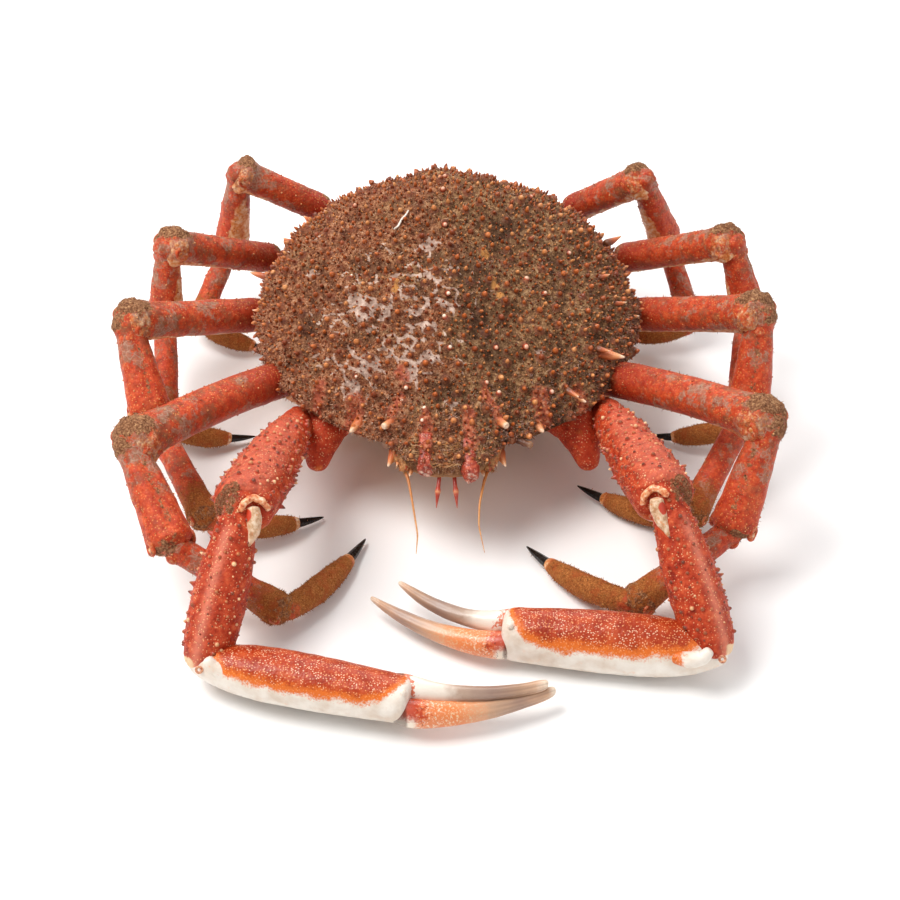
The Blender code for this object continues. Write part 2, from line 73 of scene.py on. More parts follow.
for name, (place, size, power, colour) in LIGHTS.items():
    bpy.ops.object.light_add(type="AREA", location=place)
    lamp = bpy.context.object
    lamp.name = "light_" + name
    lamp.data.size = size
    lamp.data.energy = power
    lamp.data.color = colour
    lamp.rotation_euler = (Vector(LIGHT_AIM) - Vector(place)).to_track_quat("-Z", "Y").to_euler()

world = bpy.data.worlds.new("studio")
bpy.context.scene.world = world
world.use_nodes = True
sky = world.node_tree.nodes["Background"]
sky.inputs["Color"].default_value = (1, 1, 1, 1)
sky.inputs["Strength"].default_value = WORLD_LIGHT

bpy.ops.mesh.primitive_plane_add(size=FLOOR_SIZE, location=(0, 0, -FLOOR_DROP))
floor = bpy.context.object
floor.name = "floor"
paper = bpy.data.materials.new("floor paper")
paper.use_nodes = True
sheen = paper.node_tree.nodes["Principled BSDF"]
sheen.inputs["Base Color"].default_value = (0.93, 0.93, 0.93, 1)
sheen.inputs["Roughness"].default_value = 0.9
sheen.inputs["Specular IOR Level"].default_value = 0.1
floor.data.materials.append(paper)

# --- Body shell ---
# The shell is one hard domed case, egg-shaped from above and keeled below, with swollen regions on
# its back and a blunt snout.  Brown felt covers it, and a smooth pale film lies on its front left.
MM = 0.001
SHELL_HALF_WIDTH = 71.0
SHELL_FRONT = -83.0
SHELL_REAR = 68.0
SHELL_EDGE_HEIGHT = 37.0
DOME_RISE = 39.2
DOME_PEAK_Y = 20.0
FRONT_SLOPE_POWER = 1.83
REAR_SLOPE_POWER = 2.35
UPPER_ROUNDNESS = 1.8
LOWER_ROUNDNESS = 1.3
BELLY_FLOOR_GAP = 2.4
BELLY_DEEPER = 3.0
FRONT_KEEL_POWER = 1.7
REAR_KEEL_POWER = 4.0
PLAN_SHIFT = 2.0
# Sections of the snout from its end back: y, half width, top and bottom.
SNOUT = ((-91, 11, 37.5, 31), (-87, 15, 40.5, 28), (-80, 20, 44, 25), (-72, 22, 47.5, 23), (-58, 22, 48, 24))
SNOUT_SQUARENESS = 3.2
CHIN_SQUARENESS = 3
# From here forward the snout shows in the outline, and from here in the back and the keel.
SNOUT_PLAN_Y = -68
SNOUT_Y = -56
# The snout's blunt end closes in a low cap: its share of the shell's rings, lift and middle height.
SNOUT_CAP = 0.09
CAP_LIFT = 1.6
CAP_HEIGHT = 34.2
SHELL_RINGS = 300
SHELL_SEGMENTS = 298
BACK_SHARE = 0.76
# Swollen regions and sunk valleys: x, y, radius and rise; those off the middle are mirrored.
SHELL_REGIONS = (
    (0, -36, 19, 3.0), (0, 14, 13, 2.5), (0, 46, 12, 1.5), (36, 8, 25, 3.0), (38, -46, 12, 1.5),
    (14, -10, 8, -1.8), (19, -40, 9, -1.6), (25, 32, 9, -1.2), (0, -68, 5, -1.8), (27, -66, 6, -1.2),
)
# Places where the film is whole: x, y, radius and strength.  Round them it is a net between mounds.
FILM_PATCHES = (
    (-29, -32.5, 4.6, 1.1), (-33.5, -29, 3.4, 1.0), (-22.5, -36, 2.6, 0.9), (-25.6, -10.7, 2.6, 0.6),
    (-6.9, -8.7, 3.4, 0.95), (-5, -23.7, 3.0, 0.9), (-19.2, -22.9, 3.0, 0.7), (-11.4, -38.8, 2.8, 0.8),
    (-6.4, -45.3, 3.6, 1.0), (-28, -54, 4.0, 1.1), (-33, -61.5, 3.2, 1.0), (-7, -54.5, 3.6, 1.0),
    (-13, -59.5, 3.4, 1.0), (-1.8, -36.5, 2.4, 0.9), (-48, 7, 2.4, 0.7), (-50, -10, 2.6, 0.8),
    (1.5, -71, 2.4, 0.8), (2.3, -77, 2.0, 0.7), (33, -50, 2.2, 0.7),
)
NET_CENTRE = (-20, -38)
NET_REACH = (33, 34)
FILM_LUMP = 8.0
# Spots of painted shade over the felt's darker valleys and hollows, and ochre lumps: x, y, radius and
# strength.
SHADED = (
    (9, -22, 11, 1), (13, -42, 10, 1), (18, -52, 7, 1), (-13, -42, 5, 1),
    (-50, -33, 6, 1), (22, -2, 9, 1), (-2, -66, 6, 1),
)
OCHRE_LUMPS = (
    (-18.5, -29, 1.7, 1), (-18, -26.5, 1.2, 1), (13.9, -12.2, 1.9, 1),
    (16.8, -24, 1.3, 1), (17.5, -27.5, 1.9, 1), (19.1, -31, 1.8, 1),
)
# Mounds of three sizes, each topped by a tubercle: spacing, least and greatest radius, and height.
MOUNDS = ((6.2, 1.8, 3.0, 1.8), (3.9, 1.1, 1.8, 1.15), (2.0, 0.5, 0.9, 0.55))
# Bare tubercles: x, y, radius, height and how pale the tip is.
PALE_TUBERCLES = (
    (0, -33.1, 0.95, 1.4, 1), (0, -43, 0.95, 1.4, 1), (0, -52.3, 0.95, 1.3, 1), (-14.1, -62.8, 1.0, 1.3, 0.9),
    (-14.7, -69.4, 0.75, 0.9, 1), (-7.3, -73.9, 0.9, 0.7, 1), (-7.6, -77.5, 0.85, 0.7, 1),
    (-32.6, -57.5, 0.7, 0.9, 1), (-35.5, -20, 0.65, 1.0, 1), (18, -66, 1.0, 1.3, 0.6),
    (28.3, -23.3, 1.1, 1.5, 0.55), (34.8, -26.4, 0.9, 1.5, 0.55), (27.5, -48.1, 1.1, 1.3, 0.4),
    (17, -50, 0.9, 1.1, 0.35), (12.7, -62.7, 0.9, 1.2, 0.6), (35.5, -61.5, 1.0, 1.4, 0.7),
    (-1.1, 0.2, 1.0, 1.3, 0.4), (-1.5, 16.4, 1.0, 1.3, 0.35), (-35.4, 17.3, 0.9, 1.4, 0.3),
    (0, 30, 0.9, 1.3, 0.35), (30, 22, 0.9, 1.3, 0.35), (44, -4, 0.9, 1.3, 0.45),
)
PALE_MOUND_RADIUS = 2.8
PALE_MOUND_HEIGHT = 1.7
# Bare pink ridges run to the orbits and the horns: both ends' x and y, and width.
RIDGES = (
    (13.4, -66, 18.5, -76, 2.8), (-16.5, -66.5, -20, -76, 2.8), (7.8, -75, 8.2, -86, 3.4),
    (-7.2, -77, -7.5, -88, 3.2), (-16.8, -58.5, -15, -61, 3.0), (-32, -66, -34, -75, 4.4),
    (33, -64, 35, -75, 4.4), (47, -58, 49, -63, 3.4), (-45, -58, -46, -63, 3.2),
)


def pick_alone(*pieces):
    """Leave edit mode and select these pieces alone, the first as the active one."""
    if bpy.context.object and bpy.context.object.mode != "OBJECT":
        bpy.ops.object.mode_set(mode="OBJECT")
    bpy.ops.object.select_all(action="DESELECT")
    for piece in pieces:
        piece.select_set(True)
        bpy.context.view_layer.objects.active = pieces[0]


def edit_all(step, **settings):
    """Do one step of edit mode on the whole mesh of the active piece."""
    bpy.ops.object.mode_set(mode="EDIT")
    bpy.ops.mesh.select_all(action="SELECT")
    step(**settings)
    bpy.ops.object.mode_set(mode="OBJECT")


def get_points(piece, what="co"):
    """The mesh's points in millimetres, or their normals."""
    values = np.empty(len(piece.data.vertices) * 3, np.float32)
    piece.data.vertices.foreach_get(what, values)
    values = values.reshape(-1, 3).astype(float)
    return values / MM if what == "co" else values


def set_points(piece, points):
    piece.data.vertices.foreach_set("co", (points * MM).astype(np.float32).ravel())
    piece.data.update()


def store(piece, **numbers):
    """Keep a number for each point of the mesh under each name given, for its material to read."""
    for name, values in numbers.items():
        attribute = piece.data.attributes.get(name) or piece.data.attributes.new(name, "FLOAT", "POINT")
        values = np.broadcast_to(np.asarray(values, np.float32), (len(piece.data.vertices),))
        attribute.data.foreach_set("value", np.ascontiguousarray(values))


def lumps(points, size, seed=0.0):
    """Smooth noise from -1 to 1 whose lumps are about as large as size."""
    return np.array([noise.noise(point) for point in (points / size + seed).tolist()])


def ease(values, low, high):
    """A smooth step from 0 at low to 1 at high."""
    share = np.clip((np.asarray(values) - low) / (high - low), 0, 1)
    return share * share * (3 - 2 * share)


def hill(away):
    """A round hill that falls from 1 as the distance, in radii, grows."""
    return np.exp(-(away**2))


def smooth_max(first, second, width):
    """The larger of two heights, with the crease between them rounded over the width."""
    share = np.clip(0.5 + 0.5 * (second - first) / width, 0, 1)
    return first * (1 - share) + second * share + width * share * (1 - share)


def snout_at(y, column):
    rows = np.array(SNOUT, float)
    return np.interp(y, rows[:, 0], rows[:, column])


def plan_half_width(y):
    """Half width of the shell's outline at y: an egg made of two half ellipses, then the snout."""
    middle = (SHELL_FRONT + SHELL_REAR) / 2 + PLAN_SHIFT
    reach = np.where(y < middle, middle - SHELL_FRONT, SHELL_REAR - middle)
    egg = SHELL_HALF_WIDTH * np.sqrt(np.clip(1 - ((y - middle) / reach) ** 2, 0, 1))
    return np.where(y < SNOUT_PLAN_Y, smooth_max(egg, snout_at(y, 1), 2.0), egg)


def arch_over(across, squareness):
    """Height of a squared half round over its middle, as across goes from 0 to 1."""
    return (1 - np.clip(across, 0, 1) ** squareness) ** (1 / squareness)


def shell_height(x, y):
    """z of the upper face of the shell and its snout."""
    front = np.clip((DOME_PEAK_Y - y) / (DOME_PEAK_Y - SHELL_FRONT), 0, 1) ** FRONT_SLOPE_POWER
    rear = np.clip((y - DOME_PEAK_Y) / (SHELL_REAR - DOME_PEAK_Y), 0, 1) ** REAR_SLOPE_POWER
    swell = np.zeros_like(x)
    for centre_x, centre_y, radius, height in SHELL_REGIONS:
        swell += height * hill(np.hypot(np.abs(x) - centre_x, y - centre_y) / radius)
    arch = arch_over(np.abs(x) / np.maximum(plan_half_width(y), 0.01), UPPER_ROUNDNESS)
    dome = SHELL_EDGE_HEIGHT + (DOME_RISE * (1 - front - rear) + swell) * arch
    lift = snout_at(y, 2) - SHELL_EDGE_HEIGHT
    snout = SHELL_EDGE_HEIGHT + lift * arch_over(np.abs(x) / snout_at(y, 1), SNOUT_SQUARENESS)
    return np.where(y < SNOUT_Y, smooth_max(dome, snout, 2.5), dome)


def thin_out(points, order, spacing, taken=()):
    """Walk the points in the order given and keep each that is farther than spacing from the kept."""
    cells = {}
    around = [(a, b, c) for a in (-1, 0, 1) for b in (-1, 0, 1) for c in (-1, 0, 1)]
    for point in taken:
        cells.setdefault(tuple(np.floor(point / spacing).astype(int).tolist()), []).append(point.tolist())
    kept = []
    places = points.tolist()
    for i in order:
        x, y, z = places[i]
        home = (math.floor(x / spacing), math.floor(y / spacing), math.floor(z / spacing))
        near = (cells.get((home[0] + a, home[1] + b, home[2] + c), ()) for a, b, c in around)
        if all((x - p) ** 2 + (y - q) ** 2 + (z - r) ** 2 > spacing**2 for cell in near for p, q, r in cell):
            kept.append(i)
            cells.setdefault(home, []).append((x, y, z))
    return kept


def nearest(points, spots):
    """Distance from each point to the nearest spot, which it is, and how much farther the next one is."""
    tree = kdtree.KDTree(len(spots))
    for i, spot in enumerate(spots.tolist()):
        tree.insert(spot, i)
    tree.balance()
    pairs = [tree.find_n(point, 2) for point in points.tolist()]
    hits = np.array([(near[2], near[1], far[2] - near[2]) for near, far in pairs])
    return hits[:, 0], hits[:, 1].astype(int), hits[:, 2]


def in_spots(points, spots):
    """How deep each point lies in some round spots, given as x, y, radius and strength."""
    depth = np.zeros(len(points))
    for x, y, radius, strength in spots:
        away = np.hypot(points[:, 0] - x, points[:, 1] - y) / radius
        depth = np.maximum(depth, strength * hill(away))
    return depth


pick_alone()
bpy.ops.mesh.primitive_uv_sphere_add(segments=SHELL_SEGMENTS, ring_count=SHELL_RINGS, radius=1)
body_shell = bpy.context.object
body_shell.name = "body_shell"
ball = get_points(body_shell) * MM
from_front = np.arccos(np.clip(ball[:, 2], -1, 1)) / math.pi
ring_share = np.clip((from_front - SNOUT_CAP) / (1 - SNOUT_CAP), 0, 1)
ring_y = SNOUT[0][0] + (SHELL_REAR - SNOUT[0][0]) * (1 - np.cos(math.pi * ring_share)) / 2
cap = np.clip(from_front / SNOUT_CAP, 0, 1)
turn = np.mod(np.arctan2(ball[:, 1], ball[:, 0]), 2 * math.pi) / (2 * math.pi)
on_back = turn <= BACK_SHARE
under_turn = 0.5 + (turn - BACK_SHARE) / (1 - BACK_SHARE) / 2
turn = np.where(on_back, turn / BACK_SHARE / 2, under_turn) * 2 * math.pi
cosine = np.cos(turn)
roundness = np.where(on_back, UPPER_ROUNDNESS, LOWER_ROUNDNESS)
shell_x = plan_half_width(ring_y) * np.sign(cosine) * np.abs(cosine) ** (2 / roundness)
middle = (SHELL_FRONT + SHELL_REAR) / 2
keel_power = np.where(ring_y < middle, FRONT_KEEL_POWER, REAR_KEEL_POWER)
keel_share = 1 - np.clip(np.abs(ring_y - middle) / (SHELL_REAR - middle), 0, 1) ** keel_power
keel_depth = (SHELL_EDGE_HEIGHT + BELLY_DEEPER) * keel_share * np.abs(np.sin(turn)) ** (2 / LOWER_ROUNDNESS)
keel = np.maximum(SHELL_EDGE_HEIGHT - keel_depth, BELLY_FLOOR_GAP)
chin_arch = arch_over(np.abs(shell_x) / snout_at(ring_y, 1), CHIN_SQUARENESS)
chin = SHELL_EDGE_HEIGHT - (SHELL_EDGE_HEIGHT - snout_at(ring_y, 3)) * chin_arch
keel = np.where(ring_y < SNOUT_Y, -smooth_max(-keel, -chin, 2.0), keel)
shell_z = np.where(on_back, shell_height(shell_x, ring_y), keel)
shell_points = np.stack((shell_x, ring_y, shell_z), axis=1)
cap_middle = np.array((0.0, SNOUT[0][0], CAP_HEIGHT))
closed_in = cap_middle + (shell_points - cap_middle) * cap[:, None]
shell_points = np.where((cap < 1)[:, None], closed_in, shell_points)
shell_points[:, 1] -= CAP_LIFT * np.sqrt(1 - cap**2)
set_points(body_shell, shell_points)
pick_alone(body_shell)
edit_all(bpy.ops.mesh.normals_make_consistent, inside=False)
bpy.ops.object.shade_smooth()

# Tubercles stand on mounds of three sizes, none nearer to a larger one than its spacing.
draw = np.random.default_rng(11)
shell_normals = get_points(body_shell, "normal")
back = np.where(on_back & (shell_points[:, 2] > SHELL_EDGE_HEIGHT - 0.5) & (cap >= 1))[0]
back = draw.permutation(back)
pale_spots = np.array(PALE_TUBERCLES, float)[:, :2]
pale_spots = np.column_stack((pale_spots, shell_height(pale_spots[:, 0], pale_spots[:, 1])))
taken = pale_spots
mound_sets = []
for spacing, *sizes in MOUNDS:
    chosen = thin_out(shell_points, back.tolist(), spacing, taken)
    mound_sets.append(np.array(chosen))
    taken = np.vstack((taken, shell_points[chosen]))

mound = ease(1 - nearest(shell_points, pale_spots)[0] / PALE_MOUND_RADIUS, 0, 1)
rise = PALE_MOUND_HEIGHT * mound
for chosen, (spacing, least, greatest, height) in zip(mound_sets, MOUNDS):
    away, which, midway = nearest(shell_points, shell_points[chosen])
    size = draw.uniform(0, 1, len(chosen))[which]
    radius = least + (greatest - least) * size
    top = np.sqrt(np.clip(1 - (away / radius) ** 2, 0, 1)) * ease(1 - away / radius, 0, 0.5)
    rise = np.maximum(rise, height * (0.6 + 0.6 * size) * top)
    mound = np.maximum(mound, top * min(1, height))

# The film is whole in its patches, and a net along the lines midway between mounds round them.
centres = np.vstack((pale_spots, shell_points[mound_sets[0]], shell_points[mound_sets[1]][::2]))
away, which, midway = nearest(shell_points, centres)
net_away = np.hypot(*((shell_points[:, :2] - NET_CENTRE) / NET_REACH).T)
ragged = 0.3 * lumps(shell_points, FILM_LUMP / 3, 9.4)
net = hill(net_away) * ease(lumps(shell_points, FILM_LUMP, 3.1) + ragged, -0.3, 0.15)
patch = in_spots(shell_points, FILM_PATCHES)
reach = 0.4 + 1.25 * np.clip(net, 0, 1) + 1.3 * np.clip(patch, 0, 1)
threads = (1 - ease(midway, 0.45 * reach, reach)) * ease(net + 0.9 * patch + ragged, 0.3, 0.6)
film = np.maximum(ease(patch + ragged, 0.4, 0.62), threads) * ease(1 - mound, 0.25, 0.6)
film *= ease(shell_points[:, 2], SHELL_EDGE_HEIGHT, SHELL_EDGE_HEIGHT + 6) * on_back

grain = lumps(shell_points, 3.0, 1.7)
fine_grain = lumps(shell_points, 1.3, 5.2)
broad = lumps(shell_points, 9.5, 6.3)
rough = (0.6 * grain + 0.45 * fine_grain) * (1 - 0.85 * film) + 0.3 * film + 1.7 * broad
shell_points = shell_points + shell_normals * np.where(on_back, rise + rough, 0.25 * grain)[:, None]
shell_points[:, 2] = np.maximum(shell_points[:, 2], BELLY_FLOOR_GAP)
below = np.where(on_back, 0.0, ease(SHELL_EDGE_HEIGHT - shell_points[:, 2], 1.0, 9.0))
# Painted shade: the felt is darkened in its small hollows, low between grains and away from mounds.
hollow = ease(-(grain + 0.6 * fine_grain + 1.2 * broad) - 0.8 * mound, -0.2, 0.6)
ridge = np.zeros(len(shell_points))
for from_x, from_y, to_x, to_y, width in RIDGES:
    run = np.array((to_x - from_x, to_y - from_y))
    offset = shell_points[:, :2] - (from_x, from_y)
    share = np.clip(offset @ run / (run @ run), 0, 1)
    ridge = np.maximum(ridge, hill(np.linalg.norm(offset - share[:, None] * run, axis=1) / width))
beside_horns = hill((np.abs(shell_points[:, 0]) - 8) / 5) * ease(-shell_points[:, 1], 68, 80)
ridge = np.maximum(ridge, 0.45 * beside_horns) * on_back
# Painted shade in the felt's valleys, from the SHADED spots.
shaded = in_spots(shell_points, SHADED) * on_back
ochre = in_spots(shell_points, OCHRE_LUMPS) * on_back
set_points(body_shell, shell_points + shell_normals * ochre[:, None])
store(body_shell, film=film, mound=mound, below=below, hollow=hollow, ridge=ridge, shaded=shaded, ochre=ochre)


class Flow:
    """A number carried by a material's wires: reckoning with flows adds the material's maths nodes."""

    def __init__(self, finish, socket):
        self.finish = finish
        self.socket = socket

    def reckon(self, operation, first, second):
        return self.finish.node("ShaderNodeMath", {"operation": operation}, {0: first, 1: second})

    def __add__(self, other):
        return self.reckon("ADD", self, other)

    def __radd__(self, other):
        return self.reckon("ADD", other, self)

    def __sub__(self, other):
        return self.reckon("SUBTRACT", self, other)

    def __rsub__(self, other):
        return self.reckon("SUBTRACT", other, self)

    def __mul__(self, other):
        return self.reckon("MULTIPLY", self, other)

    def __rmul__(self, other):
        return self.reckon("MULTIPLY", other, self)


def tint(code):
    """A colour given as it looks on a screen, such as 80553b, made ready for a shader."""
    shares = [int(code[i : i + 2], 16) / 255 for i in (0, 2, 4)]
    return tuple(s / 12.92 if s < 0.04045 else ((s + 0.055) / 1.055) ** 2.4 for s in shares) + (1.0,)


class Finish:
    """One material: a shader, the nodes that vary it over a surface, and the colour laid so far."""

    def __init__(self, name, roughness, specular=0.5):
        self.material = bpy.data.materials.new(name)
        self.material.use_nodes = True
        self.tree = self.material.node_tree
        self.shader = self.tree.nodes["Principled BSDF"]
        self.shader.inputs["Roughness"].default_value = roughness
        self.shader.inputs["Specular IOR Level"].default_value = specular
        self.place = self.node("ShaderNodeTexCoord", {}, {}, "Object")

    def node(self, kind, settings, sockets, output=0):
        """Add a node of a kind, with its settings and what goes into its sockets; give its output."""
        made = self.tree.nodes.new(kind)
        for name, value in settings.items():
            if name == "stops":
                while len(made.color_ramp.elements) < len(value):
                    made.color_ramp.elements.new(0.5)
                for stop, (place, code) in zip(made.color_ramp.elements, value.items()):
                    stop.position = place
                    stop.color = tint(code)
            else:
                setattr(made, name, value)
        for name, value in sockets.items():
            self.feed(made.inputs[name], value)
        return Flow(self, made.outputs[output])

    def feed(self, socket, value):
        """Wire a flow into a socket, or set the number or the colour's code there."""
        if isinstance(value, Flow):
            self.tree.links.new(value.socket, socket)
        else:
            socket.default_value = tint(value) if isinstance(value, str) else value

    def kept(self, name):
        """A number that the mesh keeps for each of its points."""
        return self.node("ShaderNodeAttribute", {"attribute_name": name}, {}, "Fac")

    def cloud(self, size, detail=3, roughness=0.5):
        """Smooth noise from 0 to 1 with lumps of a size in millimetres."""
        sockets = {"Vector": self.place, "Scale": 1 / (size * MM), "Detail": detail, "Roughness": roughness}
        return self.node("ShaderNodeTexNoise", {}, sockets, "Fac")

    def ragged(self, value, amount, *cloud):
        """A value whose edges a cloud makes uneven by an amount."""
        return value + (self.cloud(*cloud) - 0.5) * amount

    def spots(self, size, stretch=None, feature="F1", randomness=1.0):
        """Distance to the nearest of scattered spots about a size apart, on axes stretched by factors."""
        place = self.place
        if stretch:
            place = self.node("ShaderNodeMapping", {}, {"Vector": place, "Scale": stretch})
        sockets = {"Vector": place, "Scale": 1 / (size * MM), "Randomness": randomness}
        return self.node("ShaderNodeTexVoronoi", {"feature": feature}, sockets, "Distance")

    def step(self, value, low, high):
        """A smooth mask that is 0 below low and 1 above high."""
        soft = {"interpolation_type": "SMOOTHSTEP"}
        return self.node("ShaderNodeMapRange", soft, {0: value, 1: low, 2: high})

    def beyond(self, axis, low, high):
        """A smooth mask that rises along an axis (0 for X) between two places in metres."""
        return self.step(self.node("ShaderNodeSeparateXYZ", {}, {0: self.place}, axis), low, high)

    def mix(self, share, first, second):
        settings = {"data_type": "RGBA", "blend_type": "MIX", "clamp_factor": True}
        return self.node("ShaderNodeMix", settings, {0: share, 6: first, 7: second}, 2)

    def ramp(self, value, stops):
        """Colours that follow a value, from the code at each stop."""
        return self.node("ShaderNodeValToRGB", {"stops": stops}, {"Fac": value}, "Color")

    def lay(self, share, colour):
        """Cover the colour laid so far by another, where and as far as the share says."""
        self.colour = self.mix(share, self.colour, colour)

    def show(self, colour=None, roughness=None, bumps=()):
        """Wire the colour, roughness and bumps (height, depth in millimetres) into the shader."""
        self.feed(self.shader.inputs["Base Color"], colour or self.colour)
        if roughness:
            self.feed(self.shader.inputs["Roughness"], roughness)
        normal = {}
        for height, depth in bumps:
            sockets = {"Height": height, "Distance": depth * MM, "Strength": 1.0, **normal}
            normal = {"Normal": self.node("ShaderNodeBump", {}, sockets, "Normal")}
        for name, flow in normal.items():
            self.feed(self.shader.inputs[name], flow)
        return self.material


def dress(piece, material):
    """Give a finished piece its material, and tie it to the crab's one body."""
    piece.data.materials.clear()
    piece.data.materials.append(material)
    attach(piece, "root")
    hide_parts("crab")


# Where the lighter felt turns to the darker, greyer felt of the crab's left side, in metres; its darkness
# there is partly painted shade, on the side away from the key lamp.
FELT_TURN = (-0.03, 0.035)
felt = Finish("felted shell", 0.9, 0.3)
film_edge = felt.step(felt.ragged(felt.kept("film"), 0.5, 0.8), 0.38, 0.62)
weave = felt.cloud(0.55, 4, 0.65) * 0.5 + felt.cloud(2.2, 3, 0.6) * 0.5
tan_felt = felt.ramp(weave, {0.34: "33200f", 0.46: "6d482c", 0.56: "a0764f", 0.7: "cfae88"})
red_felt = felt.ramp(weave, {0.34: "3f1d0e", 0.46: "7c4429", 0.56: "ad7552", 0.7: "d3a888"})
redder = felt.step(felt.cloud(15, 2) + (0.5 - felt.beyond(0, *FELT_TURN)) * 0.5, 0.42, 0.75)
felt.colour = felt.mix(redder, tan_felt, red_felt)
on_mound = felt.step(felt.ragged(felt.kept("mound"), 0.6, 1.0), 0.3, 0.75)
felt.lay(on_mound * 0.8, felt.ramp(felt.cloud(1.3), {0.35: "4f1f0f", 0.55: "7a3a1f", 0.72: "9c5b38"}))
# Painted shade in the felt's small hollows.
felt.lay(felt.kept("hollow") * 0.55, "331c10")
# Painted shade in the felt's valleys.
felt.lay(felt.kept("shaded") * 0.55, "2e1a10")
felt.lay(felt.step(felt.kept("ochre"), 0.3, 0.7) * 0.9, "c08346")
felt.lay(film_edge * 0.88, felt.ramp(felt.cloud(2.2), {0.34: "8c6e5e", 0.52: "b89a8a", 0.7: "dac2b2"}))
pink = felt.ramp(felt.cloud(1.4), {0.32: "7c2d18", 0.48: "a84a2e", 0.6: "c46c48", 0.76: "e0a582"})
bare = felt.step(felt.ragged(felt.kept("ridge"), 1.3, 1.6, 4, 0.65), 0.42, 0.9)
felt.lay(bare * 0.85, pink)
felt.lay(felt.kept("below"), felt.ramp(felt.cloud(5), {0.35: "b0703f", 0.6: "d8a878"}))
felt_roughness = 0.92 - film_edge * 0.5 - on_mound * 0.3 - bare * 0.4
felt_bumps = ((felt.cloud(0.45, 4, 0.7), 0.3), (felt.cloud(1.4, 3, 0.6), 0.45))
dress(body_shell, felt.show(roughness=felt_roughness, bumps=felt_bumps))


# --- Tubercles of the shell ---
# Hundreds of small blunt cones of shell stand out of the felt, orange at the tip.  They are larger
# and dark red where the film lies, and a few along the middle and the front end in a pale point.
TUBERCLE = ((0, 1.0), (0.35, 0.95), (0.68, 0.7), (0.92, 0.36), (1.0, 0.1))
PLAIN_TUBERCLE = TUBERCLE[::2]
PALE_TUBERCLE = ((0, 1.5), (0.25, 1.3), (0.6, 1.0), (0.85, 0.72), (0.97, 0.4), (1.0, 0.12))
# For each size of mound: its tubercle's profile and sides, and least and greatest radius and height.
TUBERCLES = (
    (TUBERCLE, 9, 0.7, 1.2, 1.1, 1.9),
    (TUBERCLE, 8, 0.48, 0.85, 1.0, 1.7),
    (PLAIN_TUBERCLE, 6, 0.34, 0.56, 0.9, 1.5),
)
TUBERCLE_SINK = 0.4


def grow(name, stations, sides, levels=0):
    """A closed round shape drawn up from a circle: each station is a height and a radius."""
    pick_alone()
    height, radius = stations[0]
    place = (0, 0, height * MM)
    bpy.ops.mesh.primitive_circle_add(vertices=sides, radius=radius * MM, fill_type="NGON", location=place)
    piece = bpy.context.object
    piece.name = name
    bpy.ops.object.mode_set(mode="EDIT")
    bpy.ops.mesh.select_all(action="SELECT")
    for (low, narrow), (high, wide) in zip(stations, stations[1:]):
        bpy.ops.mesh.extrude_region_move(TRANSFORM_OT_translate={"value": (0, 0, (high - low) * MM)})
        bpy.ops.transform.resize(value=(wide / narrow, wide / narrow, 1), center_override=(0, 0, high * MM))
    edit_all(bpy.ops.mesh.normals_make_consistent, inside=False)
    bpy.ops.object.transform_apply(location=True, rotation=True, scale=True)
    if levels:
        smooth = piece.modifiers.new("smooth", "SUBSURF")
        smooth.levels = smooth.render_levels = levels
        bpy.ops.object.modifier_apply(modifier=smooth.name)
    bpy.ops.object.shade_smooth()
    return piece


def copies(name, model, spread, draw):
    """Many copies of one small shape as one mesh: spread turns its points into the points of each copy.

    Each point keeps its share of the shape's height as "tip", and a number of its copy as "pick"."""
    pick_alone(model)
    edit_all(bpy.ops.mesh.quads_convert_to_tris)
    faces = np.empty(len(model.data.polygons) * 3, np.int64)
    model.data.polygons.foreach_get("vertices", faces)
    shape = get_points(model)
    bpy.data.objects.remove(model)
    points = spread(shape)
    count = len(points)
    faces = faces.reshape(-1, 3) + (np.arange(count) * len(shape))[:, None, None]
    mesh = bpy.data.meshes.new(name)
    mesh.from_pydata((points.reshape(-1, 3) * MM).tolist(), [], faces.reshape(-1, 3).tolist())
    mesh.shade_smooth()
    piece = bpy.data.objects.new(name, mesh)
    bpy.context.scene.collection.objects.link(piece)
    tip = np.clip(shape[:, 2] / shape[:, 2].max(), 0, 1)
    store(piece, tip=np.tile(tip, count), pick=np.repeat(draw.random(count), len(shape)))
    return piece


def unit(vectors):
    return vectors / np.linalg.norm(vectors, axis=-1)[..., None]


def plant(name, model, places, aims, widths, heights, seed):
    """Copy one small shape to many places, turned at random about its aim."""
    draw = np.random.default_rng(seed)
    aims = unit(aims)
    across = unit(np.cross(aims, draw.normal(size=aims.shape)))
    other = np.cross(aims, across)
    widths, heights = (np.broadcast_to(sizes, len(places))[:, None, None] for sizes in (widths, heights))

    def spread(shape):
        x, y, z = shape.T[:, None, :, None]
        points = places[:, None] + across[:, None] * x * widths + other[:, None] * y * widths
        return points + aims[:, None] * z * heights

    return copies(name, model, spread, draw)


def join(name, parts):
    pick_alone(*parts)
    bpy.ops.object.join()
    parts[0].name = name
    return parts[0]


